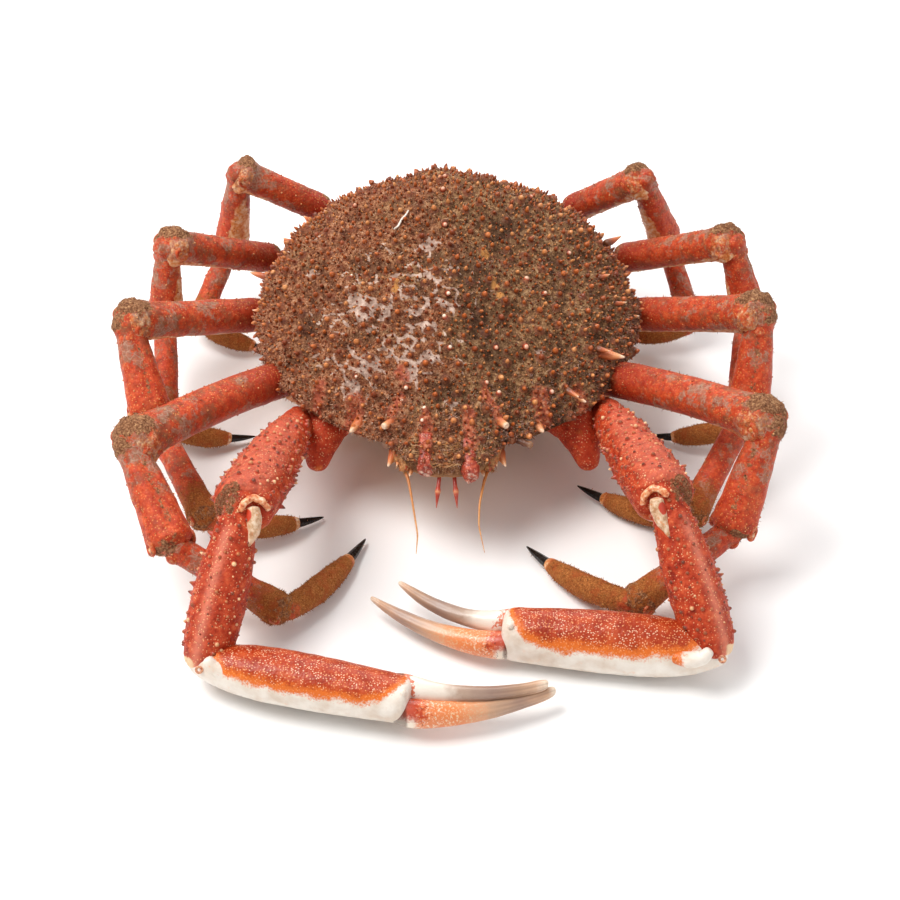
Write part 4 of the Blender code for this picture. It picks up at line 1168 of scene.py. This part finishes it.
velvet_tone = coral.mix(coral.step(coral.cloud(5.0, 3, 0.6), 0.46, 0.66) * 0.6, velvet_tone, "9a441c")
velvet_edge = coral.step(coral.ragged(coral.kept("velvet"), 0.7, 1.6, 4, 0.7), 0.25, 0.65)
coral.lay(velvet_edge, velvet_tone)
felt_edge = coral.step(coral.ragged(coral.kept("felt"), 1.7, 1.8, 4, 0.7), 0.42, 0.64)
coral.lay(felt_edge, coral.ramp(coral.cloud(0.8, 4, 0.65), {0.3: "40220f", 0.5: "84563a", 0.7: "c09468"}))
black_claw = coral.step(coral.kept("claw"), 0.4, 0.6)
coral.lay(black_claw, "17100d")
coral_roughness = (0.46 + felt_edge * 0.4 + velvet_edge * 0.4) * (1 - black_claw) + black_claw * 0.16
coral_bumps = ((coral.spots(1.05), 0.16), (coral.cloud(0.5, 4, 0.7), 0.16), (coral.cloud(1.8), 0.3))
coral_finish = coral.show(roughness=coral_roughness, bumps=coral_bumps)

leg_hairs = []
leg_velvet = []
granules = []
for side in (-1, 1):
    for number in range(4):
        leg = make_leg(side, number)
        dress(leg, coral_finish)
        seed = 200 + number * 10 + (side + 1) * 30
        tufts, velvet, claw, speck = (kept_by(leg, name) for name in ("felt", "velvet", "claw", "speck"))
        woolly = 1.4 * tufts**1.5 + 0.16
        leg_hairs.append(
            hairs("leg_hair", leg, LEG_HAIRS, woolly, seed, (0.16, 0.28), (0.5, 1.3), (0, -0.1, 0), 0.6)
        )
        woolly = velvet**2 + 1e-5
        leg_velvet.append(
            hairs("velvet", leg, VELVET_HAIRS, woolly, seed + 3, (0.18, 0.28), (0.5, 0.95), (0, -0.2, 0), 0.4)
        )
        bare = (1 - tufts) * (1 - velvet) * (1 - claw) * speck + 0.001
        places, out = face_sample(leg, GRANULES, bare, seed + 5)
        wide = np.random.default_rng(seed).uniform(0.22, 0.45, GRANULES)
        grain = grow("cone", PLAIN_TUBERCLE, 6)
        aims = out + (0, 0, 0.1)
        granules.append(plant("granules", grain, places - out * 0.12, aims, wide, wide * 1.4, seed + 6))
leg_brown = {0.15: "6a3e24", 0.5: "9e6e46", 0.9: "d0a478"}
leg_gold = {0.15: "80491f", 0.5: "a36a34", 0.9: "cf9858"}
dress(join("leg_velvet", leg_velvet), wool_finish("golden leg velvet", leg_gold, root="7a4a22"))
dress(join("leg_hairs", leg_hairs), wool_finish("brown leg hair", leg_brown, root="5a361c"))
grainy = Finish("leg granules", 0.4)
grain_tip = grainy.ramp(grainy.kept("pick"), {0.1: "a8401f", 0.5: "d07a3c", 0.9: "ecb676"})
dress(join("leg_granules", granules), grainy.show(grainy.mix(grainy.kept("tip"), "9c341a", grain_tip)))

# --- Claw arms ---
# The pincer limbs are thicker: an upper and a lower arm of red shell with conical tubercles, rooted in
# a glossy orange base article.
ARM_LENGTHS = (71, 52, 69)
ARM_STARTS = {-1: (47, -64, 32), 1: (53, -57, 31)}
ARM_POSES = {-1: ((-73, 15), (-68, -50), (-166, 0)), 1: ((-73.5, 14), (-65, -45), (172, -1))}
UPPER_RADIUS = 9.8
LOWER_RADIUS = 8.6
PALM_RADIUS = 10.0
BASE_PATHS = {
    -1: ((-31, -38, 20), (-39.5, -49, 27), (-43.5, -57.5, 28), (-45.8, -65.5, 23.5), (-47.2, -71, 16)),
    1: ((33, -38, 20), (41, -49, 27), (46, -57, 28), (49.5, -64.5, 23.5), (51.8, -70.5, 16)),
}
BASE_RADII = (8.5, 9, 8.8, 6.4, 3.2)
# How far the upper arm's root lies outside its joint's middle.
ROOT_SHIFTS = {-1: (-7.0, 2.0, -1.0), 1: (5.0, 2.0, -1.0)}
UPPER_ARM = (
    (-0.12, 0.4), (-0.04, 0.56), (0.05, 0.66), (0.28, 0.9), (0.5, 1.03),
    (0.72, 1.1), (0.86, 1.08), (0.95, 1.1), (0.995, 1.02), (1.02, 0.7),
)
LOWER_ARM = (
    (-0.14, 0.45), (-0.05, 0.6), (0.04, 0.68), (0.18, 0.86), (0.4, 1.04),
    (0.62, 1.1), (0.8, 1.04), (0.92, 0.95), (1.0, 0.8), (1.06, 0.52),
)
ARM_SIDES = 18
ARM_HAIRS = 380
# Both kinds of cone that stand on an arm: the mask that they follow, how many places are tried, the
# spacing, the most that stay, the first seed, profile, sink and the lift of their aims.
BLUNT = ((0, 1.15), (0.3, 0.95), (0.55, 0.78), (0.82, 0.6), (1.0, 0.2))
SHARP = ((0, 1.2), (0.3, 0.9), (0.6, 0.6), (0.88, 0.32), (1.0, 0.1))
ARM_CONES = (
    ("spiny", 1600, 2.5, 300, 300, BLUNT, 0.25, 0.1),
    ("edge", 500, 3.4, 46, 330, SHARP, 0.3, 0.2),
)

arm_joints = {}
arms = {}
for side in (-1, 1):
    joints = chain_points(ARM_STARTS[side], ARM_LENGTHS, ARM_POSES[side], side)
    shoulder, elbow, wrist, palm_end = joints
    arm_joints[side] = (wrist, palm_end)
    seed = 100 + 9.0 * side
    base, points, share = wander(BASE_PATHS[side], BASE_RADII, "base_article")
    mottle = 0.3 * lumps(points, 3.0, seed + 1)
    store(base, orange=0.6 * ease(mottle, 0, 0.2) + 0.4 * ease(share, 0.85, 1), deep=0.5)

    upper, points, share = article("upper_arm", (shoulder, elbow), UPPER_RADIUS, UPPER_ARM, ARM_SIDES, 3)
    high = points[:, 1] / UPPER_RADIUS
    outer = -side * points[:, 0] / UPPER_RADIUS
    ragged = 0.12 * lumps(points, 4.0, seed)
    store(
        upper,
        cream=ease(ragged - high, 0.5, 1.0) * 0.8,
        orange=ease(ragged - high, 0.1, 0.7) * 0.6,
        deep=ease(0.5 - share, 0, 0.5) * 0.6,
        # The pale pink along the top is a painted highlight.
        pink=0.4 * ease(high, 0.5, 0.9),
        spiny=ease(high, -0.5, 0.3) * ease(share, 0.05, 0.15) * ease(1 - share, 0, 0.1),
        edge=hill(high / 0.3) * ease(share, 0.15, 0.3) * ease(1 - share, 0.02, 0.1),
        felt=0.8 * ease(share + 0.2 * ragged, 0.985, 1.0) * ease(outer + ragged, -0.2, 0.2),
    )
    set_points(upper, relief(points, seed, 0.5, 0.2))
    stand(upper, shoulder + ROOT_SHIFTS[side], elbow, widths=LIMB_OVAL)

    lower, points, share = article("lower_arm", (elbow, wrist), LOWER_RADIUS, LOWER_ARM, ARM_SIDES, 3)
    across = -side * points[:, 0] / LOWER_RADIUS
    high = points[:, 1] / LOWER_RADIUS
    ragged = 0.12 * lumps(points, 4.0, seed + 3)
    end_cream = ease(share + ragged * 0.3, 0.97, 1.0) * ease(across, -0.2, 0.4)
    spiny = (0.25 + 0.75 * ease(np.abs(across), 0.25, 0.6)) * ease(high, -0.6, 0.0)
    store(
        lower,
        cream=np.maximum(ease(ragged - high, 0.5, 1.0) * 0.8, end_cream),
        orange=np.maximum(ease(ragged - high, 0.0, 0.8) * 0.6, 0.5 * ease(across, 0.75, 1.0)),
        # The pale pink stripe along the top is a painted highlight.
        pink=hill((across - 0.05) / 0.22) * (high > 0) * ease(share, 0.05, 0.2),
        spiny=spiny * ease(1 - share, 0.04, 0.2),
        edge=hill(high / 0.35) * ease(across, 0.3, 0.8) * ease(1 - share, 0.15, 0.3),
        felt=0.8 * ease(0.07 - share + ragged * 0.4, 0, 0.06) * ease(across + ragged, -0.3, 0.2),
    )
    set_points(lower, relief(points, seed + 3, 0.45, 0.2))
    stand(lower, elbow, wrist, widths=LIMB_OVAL)
    arms[side] = join("left_arm" if side < 0 else "right_arm", [base, upper, lower])

scarlet = Finish("scarlet arm shell", 0.5, 0.2)
scarlet_stops = {0.28: "7e1c09", 0.45: "aa3418", 0.6: "c24a28", 0.76: "d66e42"}
scarlet.colour = scarlet.ramp(scarlet.cloud(3.0, 4, 0.6), scarlet_stops)
scarlet.lay(scarlet.kept("deep") * 0.5, "c23a1a")
# Painted highlight: pale pink along the tops of the arm articles.
scarlet.lay(scarlet.kept("pink") * 0.5, "e8947a")
scarlet.lay(scarlet.step(scarlet.ragged(scarlet.kept("orange"), 0.6, 1.4), 0.3, 0.9) * 0.8, "dd7434")
fine_dots = scarlet.step(scarlet.spots(0.95), 0.3, 0.14) * scarlet.step(scarlet.cloud(7, 2), 0.28, 0.5)
scarlet.lay(fine_dots * 0.75, "f2bb88")
scarlet.lay(scarlet.step(scarlet.cloud(3.2, 4, 0.7), 0.6, 0.7) * 0.45, "7a3420")
scarlet.lay(scarlet.step(scarlet.ragged(scarlet.kept("cream"), 0.5, 1.6), 0.3, 0.8), "ecc8a0")
felt_edge = scarlet.step(scarlet.ragged(scarlet.kept("felt"), 0.9, 1.0), 0.5, 0.85)
felt_tone = scarlet.ramp(scarlet.cloud(0.6, 4, 0.65), {0.3: "4a2816", 0.5: "7c4e34", 0.7: "ae8260"})
scarlet.lay(felt_edge, felt_tone)
scarlet_bumps = ((scarlet.spots(0.95), 0.2), (scarlet.cloud(0.5, 4, 0.7), 0.14), (scarlet.cloud(2.0), 0.4))
arm_finish = scarlet.show(roughness=0.48 + felt_edge * 0.4, bumps=scarlet_bumps)
arm_cones = []
arm_hairs = []
for side, arm in arms.items():
    dress(arm, arm_finish)
    draw = np.random.default_rng(310 + side)
    for mask, tries, spacing, most, seed, profile, sink, lift in ARM_CONES:
        places, out = face_sample(arm, tries, kept_by(arm, mask), seed + side)
        chosen = thin_out(places, range(tries), spacing)[:most]
        count = len(chosen)
        if mask == "spiny":
            wide = 0.4 + 0.62 * draw.uniform(0, 1, count) ** 1.5
            tall = wide * draw.uniform(1.1, 1.7, count)
        else:
            wide = draw.uniform(0.7, 1.1, count)
            tall = wide * draw.uniform(1.7, 2.5, count)
        feet = places[chosen] - out[chosen] * sink
        aims = out[chosen] + (0, -0.1, lift)
        seed = (320 if mask == "spiny" else 340) + side
        arm_cones.append(plant("arm_cones", grow("cone", profile, 10), feet, aims, wide, tall, seed))
    woolly = kept_by(arm, "felt") ** 1.5 + 0.0001
    arm_hairs.append(
        hairs("arm_hair", arm, ARM_HAIRS, woolly, 350 + side, (0.16, 0.28), (0.6, 1.6), (0, -0.1, 0), 0.8)
    )
thorny = Finish("arm tubercle shell", 0.36)
thorn_tip = thorny.ramp(thorny.kept("pick"), {0.1: "6e3018", 0.55: "944a26", 0.82: "bc7040", 0.99: "eec492"})
thorn_colour = thorny.mix(thorny.step(thorny.kept("tip"), 0.3, 0.85), "b43c22", thorn_tip)
dress(join("arm_tubercles", arm_cones), thorny.show(thorn_colour))
dress(join("arm_hairs", arm_hairs), wool_finish("brown arm hair", leg_brown))

# --- Hoods and folded skin of the elbows ---
# At each elbow a thick orange-cream lip of the upper arm arches over the hinge, and pale folded skin
# shows below it, with one red patch of hard shell.
HOOD_PATHS = {
    -1: (
        (-67, -134.6, 53.6), (-65.6, -132.4, 55.6), (-62.7, -130.4, 56.2),
        (-59.9, -130.9, 54.8), (-57.6, -131.6, 51.6),
    ),
    1: (
        (64.4, -125.4, 48.4), (64.9, -124.6, 51.8), (67.4, -123.7, 54.3),
        (70.4, -125.2, 54.6), (72.6, -126.8, 53.6),
    ),
}
HOOD_RADII = (1.0, 1.2, 1.25, 1.2, 0.9)
SKIN_PATHS = {
    -1: ((-63, -131.8, 53.6), (-62.6, -134.6, 50.4), (-62.6, -137.2, 47.2), (-64.4, -140.4, 43.6)),
    1: ((68.6, -126.4, 52.6), (69, -128.4, 49.6), (70.4, -131.4, 46.6), (72.8, -135.6, 43.6)),
}
SKIN_RADII = (2.1, 2.8, 2.2, 0.5)
RED_SPOTS = {-1: (-65.4, -135.2, 52.6), 1: (71.4, -130.4, 51.6)}
hoods = []
skins = []
for side in (-1, 1):
    hoods.append(wander(HOOD_PATHS[side], HOOD_RADII, "hood", 14, 1, 16)[0])
    points = get_points(hoods[-1])
    set_points(hoods[-1], points + 0.25 * lumps(points, 1.4, side)[:, None])
    skins.append(wander(SKIN_PATHS[side], SKIN_RADII, "skin", 16, 2, 12)[0])
    points = get_points(skins[-1])
    crease = np.sin(points[:, 0] * 2.2 + points[:, 2] * 0.5)
    set_points(skins[-1], points + 0.05 * crease[:, None])
    red = 1 - ease(np.linalg.norm(points - RED_SPOTS[side], axis=1), 1.2, 3.4)
    store(skins[-1], red=red)
lipped = Finish("elbow hood shell", 0.3)
lip_stops = {0.34: "b0482a", 0.46: "d9804f", 0.56: "eab083", 0.7: "f6e0c6"}
lip_tone = lipped.ramp(lipped.cloud(1.5, 4, 0.6), lip_stops)
dress(join("elbow_hoods", hoods), lipped.show(lip_tone, bumps=((lipped.cloud(0.6), 0.1),)))
supple = Finish("elbow skin", 0.4)
supple.colour = supple.ramp(supple.cloud(1.8, 4, 0.6), {0.34: "b07c54", 0.48: "d4ae8a", 0.64: "ead2b8"})
supple.lay(supple.step(supple.cloud(1.3, 4, 0.7), 0.56, 0.62) * 0.6, "dc8648")
supple.lay(supple.step(supple.ragged(supple.kept("red"), 0.5, 0.9, 3, 0.6), 0.38, 0.56), "c23a1c")
dress(join("elbow_skins", skins), supple.show(bumps=((supple.cloud(0.8), 0.12),)))

# --- Pincers ---
# Each palm is a long smooth swollen shell, red with cream dots above and porcelain white below, with a
# ragged orange seam.  The two fingers are grey-brown, grooved along their length and bluntly spooned.
PALM = (
    (-0.07, 0.3), (-0.02, 0.5), (0.07, 0.74), (0.2, 0.93), (0.38, 1.0), (0.6, 0.98),
    (0.85, 0.89), (0.93, 0.85), (0.975, 0.84), (1.0, 0.76), (1.015, 0.62), (1.02, 0.4),
)
PALM_SIDES = 20
PALM_OVALS = {-1: (1.12, 0.94), 1: (0.94, 1.08)}
PALM_LEAN = (0, 0.64, 0.77)
# Where along the palm its red ends, as a share of its half height above its middle.
RED_EDGE = (
    (0, 0.9), (0.07, 0.3), (0.14, -0.08), (0.3, -0.2), (0.5, -0.26),
    (0.8, -0.2), (0.9, 0.02), (0.96, 0.45), (1.0, 0.95),
)
WRIST_KNOBS = {
    -1: ((-65, -167, 12.5), (-71.5, -168.3, 13.6), (-75.6, -167.4, 15.6), (-77.8, -166, 18.4)),
    1: ((73.5, -160.6, 13.4), (79.5, -162.8, 14), (83.4, -163.2, 15.6), (85.8, -162.2, 18.4)),
}
WRIST_KNOB_RADII = (2.0, 3.0, 2.5, 1.6)
WRIST_RINGS = {-1: (-80.2, -167.2, 14.0), 1: (89.8, -162.8, 14.4)}
TOWARD_FRONT = np.array((0, -0.77, 0.64))
FINGER_SPREAD = np.array((0, 3.9, 1.6))
# Each finger's name, tip at either side, radii, place beside the palm's end and seed.
FIXED_RADII = (3.4, 4.9, 3.3, 2.7, 2.0, 0.9)
MOVING_RADII = (3.4, 5.3, 4.3, 3.1, 2.1, 0.9)
FINGERS = (
    ("fixed", {-1: (33, -170.5, 11), 1: (-16.5, -122, 10)}, FIXED_RADII, FINGER_SPREAD, 160),
    ("moving", {-1: (35.5, -170, 7.5), 1: (-26, -127, 7.5)}, MOVING_RADII, -FINGER_SPREAD, 170),
)
FINGER_SHARES = (-0.14, 0.0, 0.25, 0.55, 0.82, 1.0)
FINGER_MARKS = (-0.14, -0.06, 0.0, 0.12, 0.25, 0.4, 0.55, 0.7, 0.82, 0.92, 0.98, 1.0)
FINGER_ENDS = {-1: (2.1, 1.7, 0.9), 1: (1.35, 1.0, 0.5)}
FINGER_BOWS = {-1: (0, -3.5, -0.4), 1: (0, -4.5, -0.8)}


def finger(name, root, tip, side, radii, seed):
    """One finger, fluted along its length, that ends in a blunt spoon."""
    whole = math.dist(root, tip)
    sizes = np.interp(FINGER_MARKS, FINGER_SHARES, radii)
    sizes[-3:] = FINGER_ENDS[side]
    piece = grow(name, [(mark * whole, size) for mark, size in zip(FINGER_MARKS, sizes.tolist())], 18, 2)
    points = get_points(piece)
    share = points[:, 2] / whole
    flute = np.cos(np.arctan2(points[:, 1], points[:, 0]) * 6 + 0.6) * ease(share, 0.3, 0.6)
    points[:, :2] *= (1 - 0.045 * flute)[:, None]
    high = points[:, 1] / np.interp(share, FINGER_SHARES, radii)
    set_points(piece, relief(points, seed, 0.12, 0.05))
    store(piece, along=np.clip(share, -0.2, 1), flute=flute, high=high, moving=float(name == "moving"))
    stand(piece, root, tip, up=(0, 0, 1), bow=FINGER_BOWS[side])
    return piece


palms = []
fingers = []
wrist_rings = []
for side, (wrist, palm_end) in arm_joints.items():
    palm, points, share = article("palm", (wrist, palm_end), PALM_RADIUS, PALM, PALM_SIDES, 3)
    wavy = 0.14 * lumps(points, 6.0, 20.0 + side) + 0.05 * lumps(points, 1.8, 25.0 + side)
    store(palm, high=points[:, 1] / PALM_RADIUS - np.interp(share, *zip(*RED_EDGE)) + wavy, along=share)
    set_points(palm, relief(points, 150 + side, 0.18, 0.05))
    stand(palm, wrist, palm_end, up=PALM_LEAN, widths=PALM_OVALS[side])
    wrist_knob, points, share = wander(WRIST_KNOBS[side], WRIST_KNOB_RADII, "wrist_knob")
    store(wrist_knob, high=0.14 - 0.4 * ease(share, 0.1, 0.45) + 0.14 * lumps(points, 1.2, side), along=0.0)
    end_place = palm_end - unit(palm_end - wrist) * 1.2
    end_place += (TOWARD_FRONT * 0.76 + np.array(PALM_LEAN) * 0.32) * PALM_RADIUS
    end_knob = knob(end_place, TOWARD_FRONT, 1.3)
    store(end_knob, high=-0.5, along=1.0)
    palms.append(join("left_palm" if side < 0 else "right_palm", [palm, wrist_knob, end_knob]))
    wrist_rings.append(ring(WRIST_RINGS[side], TOWARD_FRONT, 0.95, 0.45))
    for name, tips, radii, beside, seed in FINGERS:
        fingers.append(finger(name, palm_end + beside, tips[side], side, radii, seed + side))
tawny = Finish("wrist ring shell", 0.4)
tawny_tone = tawny.ramp(tawny.cloud(0.9), {0.35: "a5573a", 0.6: "dba27e"})
dress(join("wrist_rings", wrist_rings), tawny.show(tawny_tone))

glazed = Finish("palm shell", 0.36, 0.3)
height = glazed.ragged(glazed.ragged(glazed.kept("high"), 0.3, 3.5, 3, 0.6), 0.45, 0.6)
palm_dots = glazed.step(glazed.spots(0.7, (0.85, 1, 1), "F1", 0.85), 0.38, 0.22)
glazed.colour = glazed.ramp(glazed.cloud(6), {0.3: "d9c6b4", 0.55: "e9ded2", 0.8: "f3ebe1"})
glazed.lay(glazed.step(glazed.cloud(4.0, 5, 0.7), 0.58, 0.72) * 0.35, "e8b48c")
glazed.lay(glazed.step(height, -0.2, 0.04), glazed.mix(palm_dots * 0.4, "da6c26", "f0a868"))
palm_red = glazed.ramp(glazed.cloud(4, 4, 0.6), {0.3: "8e260b", 0.5: "a83713", 0.7: "bf5026"})
pearl = glazed.mix(glazed.step(glazed.cloud(5, 2), 0.4, 0.6), "e69a66", "f2ccaa")
glazed.lay(glazed.step(height, 0.08, 0.4), glazed.mix(palm_dots * 0.8, palm_red, pearl))
palm_finish = glazed.show(bumps=((glazed.spots(1.0), 0.1), (glazed.cloud(1.2), 0.08)))
for palm in palms:
    dress(palm, palm_finish)
taupe = Finish("finger shell", 0.3)
along = taupe.kept("along")
high = taupe.kept("high")
base_share = taupe.ragged(along, 0.14, 3)
mottle = taupe.step(taupe.cloud(0.75, 3, 0.6), 0.34, 0.5)
patchy = (taupe.cloud(1.3, 4, 0.65) - 0.5) * 1.6
moving_stops = {0.0: "eedfcd", 0.3: "e2bd94", 0.55: "bd9678", 0.75: "a07f6c", 0.92: "c79c7c", 1.0: "ead6c0"}
taupe.colour = taupe.ramp(base_share, moving_stops)
taupe.lay(taupe.step(0.62 - base_share, 0.0, 0.35) * mottle * taupe.step(along, 0.01, 0.06) * 0.9, "df7430")
blush = taupe.step(0.15 - along + patchy * 0.22, 0, 0.1) * taupe.step(high + patchy * 0.8, 0.0, 0.6)
taupe.lay(blush * 0.95, "b63408")
taupe.lay(taupe.step(taupe.cloud(0.9, 2), 0.64, 0.7) * taupe.step(0.2 - along, 0, 0.05) * 0.8, "5a2c1c")
moving_tone = taupe.colour
fixed_stops = {
    0.0: "efe6da", 0.24: "e0d2c4", 0.38: "a98e7c", 0.6: "94786a", 0.8: "a8846a", 0.92: "c9a184",
    1.0: "ead6c0",
}
taupe.colour = taupe.ramp(base_share, fixed_stops)
crimson = taupe.step(0.05 - along + patchy * 0.16, 0, 0.02) * taupe.step(high + patchy * 0.8, 0.1, 0.4)
taupe.lay(crimson * mottle * 0.9, "d0561c")
taupe.lay(taupe.kept("moving"), moving_tone)
# Painted shade in the grooves of the fingers' far half.
taupe.lay(taupe.step(taupe.kept("flute"), 0.3, 0.95) * taupe.step(along, 0.45, 0.7) * 0.25, "6b4a38")
taupe.lay(taupe.step(0.0 - along, 0.012, 0.03) * 0.7, "4a2a1a")
dress(join("fingers", fingers), taupe.show(bumps=((taupe.cloud(0.8), 0.08),)))

# --- Feelers and eyes ---
# A pair of long thin orange feelers rises from hairy tan bases, a pair of short red jointed ones hangs
# under the snout, and the eyes stand on short brown stalks in their sockets.
FEELER_PATHS = {
    -1: ((16, -84, 31.5), (13.5, -91, 30), (12, -99, 27), (10, -110, 21), (10.5, -115, 16.5)),
    1: ((15.5, -83, 31.5), (13, -92, 30), (11.3, -100, 26.5), (11, -107, 22.5), (13, -115, 17)),
}
FEELER_RADII = (0.85, 0.58, 0.42, 0.32, 0.12)
BASE_PATH = ((17.2, -79, 35.5), (16.2, -84, 34.4), (14.2, -89, 31.6))
ANTENNULE_PATH = (
    (2.2, -86, 33), (2.7, -92, 30.3), (3, -94.4, 28.8),
    (3.1, -95.2, 28.3), (3.3, -97, 26.8), (3.6, -100, 24.2),
)
ANTENNULE_RADII = (0.85, 0.75, 0.75, 1.15, 0.7, 0.1)
EYE_PATHS = {
    -1: ((15, -73, 38), (19, -76.5, 36.5), (22, -79.5, 35.5)),
    1: ((15, -73, 38), (22, -76.8, 37.2), (26, -79.3, 37), (30.2, -80.8, 36.3)),
}
EYE_RADII = {-1: (1.8, 1.5, 2.2), 1: (1.7, 1.3, 1.0, 1.5)}


def pair(name, paths, radii, sides, levels, steps, uneven=0, size=1.0):
    """Both sides' copies of a small limb of the head, with a surface uneven by a depth and lump size."""
    parts = []
    for side in (-1, 1):
        path = np.array(paths[side], float) * (side, 1, 1)
        piece, points, share = wander(path, radii[side], name, sides, levels, steps)
        points = get_points(piece)
        set_points(piece, points + uneven * lumps(points, size, side)[:, None])
        store(piece, along=share)
        parts.append(piece)
    return join(name, parts)


def both(value):
    return {-1: value, 1: value}


amber = Finish("feeler skin", 0.36)
amber.colour = amber.ramp(amber.kept("along"), {0.0: "b4622e", 0.5: "cf8a45", 1.0: "dfae78"})
amber.lay(amber.step(amber.cloud(0.9, 2), 0.45, 0.6) * 0.45, "a8602c")
dress(pair("feelers", FEELER_PATHS, both(FEELER_RADII), 8, 1, 40), amber.show())
cherry = Finish("short feeler shell", 0.3)
cherry_stops = {0.5: "a92e1e", 0.62: "b8432c", 0.655: "dc9b6c", 0.69: "c05a3c", 0.73: "a33226", 1.0: "b0503c"}
cherry.colour = cherry.ramp(cherry.kept("along"), cherry_stops)
cherry.lay(cherry.step(cherry.spots(0.9), 0.3, 0.15) * 0.5, "e8a080")
dress(pair("antennules", both(ANTENNULE_PATH), both(ANTENNULE_RADII), 10, 1, 30), cherry.show())
feeler_bases = pair("feeler_bases", both(BASE_PATH), both((2.6, 2.5, 1.6)), 14, 2, 8, 0.3, 1.8)
eye_stalks = pair("eye_stalks", EYE_PATHS, EYE_RADII, 12, 2, 10, 0.2, 1.5)
fuzzy = Finish("feeler base shell", 0.6)
fuzzy.colour = fuzzy.ramp(fuzzy.cloud(1.1, 4, 0.65), {0.34: "6e3f22", 0.48: "b0703c", 0.6: "cf9a62"})
fuzzy.lay(fuzzy.step(fuzzy.cloud(1.6), 0.56, 0.64), "b8482a")
dress(feeler_bases, fuzzy.show(bumps=((fuzzy.cloud(0.6), 0.25),)))
even = np.ones(len(feeler_bases.data.vertices))
base_hairs = hairs(
    "feeler_hairs", feeler_bases, 420, even, 401, (0.14, 0.22), (0.8, 2.0), (0, -0.4, -0.3), 0.7
)
dress(base_hairs, wool_finish("feeler hair", golden))
dark_eye = Finish("eye stalk", 0.35)
eye_share = dark_eye.ragged(dark_eye.kept("along"), 0.3, 1.3)
eye_tone = dark_eye.ramp(eye_share, {0.3: "3a1e12", 0.6: "4e2a1a", 0.85: "6c422c", 1.0: "a07a5c"})
dress(eye_stalks, dark_eye.show(eye_tone, bumps=((dark_eye.cloud(0.8), 0.2),)))

# --- Underside ---
# Under the snout two flat mouth covers close side by side.  The tail is curled round the rear edge and
# folded flat against the breastplate, and the crab rests on it.
MOUTH_X = 7.2
MOUTH_ENDS = ((-64, 17.5), (-34, 5.5))
MOUTH_PROFILE = ((0.0, 0.45), (0.08, 0.85), (0.35, 1.0), (0.65, 1.0), (0.92, 0.85), (1.0, 0.45))
MOUTH_HALF_WIDTH = 6.4
MOUTH_THICKNESS = 4.0
# y and z where each tail segment ends, and its half width.
TAIL = (
    (64.5, 29, 10), (60, 17.5, 12), (52.5, 7.5, 14.5), (42, 1.2, 17), (31, 0.2, 18.5),
    (19, 0.2, 19), (6, 0.2, 18.5), (-8, 0.2, 16), (-24, 0.2, 8),
)
TAIL_THICKNESS = 4.5
TAIL_STEPS = 60

under = []
for side in (-1, 1):
    ends = [(side * MOUTH_X, *end) for end in MOUTH_ENDS]
    piece, points, share = article("mouth_cover", ends, MOUTH_HALF_WIDTH, MOUTH_PROFILE, 16)
    stand(piece, *ends, up=(0, 0, 1), widths=(1, MOUTH_THICKNESS / MOUTH_HALF_WIDTH))
    under.append(piece)
tail_y, tail_z, tail_width = np.array(TAIL).T
spans = np.hypot(np.diff(tail_y), np.diff(tail_z))
reach = np.concatenate(((0,), np.cumsum(spans)))
tail = grow("tail", [(mark, 1.0) for mark in np.linspace(0, reach[-1], TAIL_STEPS).tolist()], 16, 1)
x, y, z = get_points(tail).T
spot = np.clip(z, 0, reach[-1])
seam = hill(np.abs(spot[:, None] - reach[None, 1:-1]).min(axis=1) / 0.9)
middles = (reach[:-1] + reach[1:]) / 2
slope_y = np.interp(spot, middles, np.diff(tail_y) / spans)
slope_z = np.interp(spot, middles, np.diff(tail_z) / spans)
across = np.sign(x) * np.abs(x) ** 0.7 * (np.interp(spot, reach, tail_width) - 0.6 * seam)
thick = (np.sign(y) * np.abs(y) ** 0.5 + 1) / 2 * TAIL_THICKNESS + seam * 0.8 * (y < 0)
tail_y = np.interp(spot, reach, tail_y) + slope_z * thick
tail_z = np.maximum(np.interp(spot, reach, tail_z) - slope_y * thick, 0.05)
set_points(tail, np.column_stack((across, tail_y, tail_z)))
pick_alone(tail)
edit_all(bpy.ops.mesh.normals_make_consistent, inside=False)
store(tail, seam=seam)
under.append(tail)
belly = Finish("underside shell", 0.45)
belly.colour = belly.ramp(belly.cloud(6, 4), {0.3: "c98658", 0.5: "dfae80", 0.72: "edcfa9"})
belly.lay(belly.kept("seam") * 0.6, "9b5230")
dress(join("underside", under), belly.show(bumps=((belly.cloud(1.5), 0.15),)))
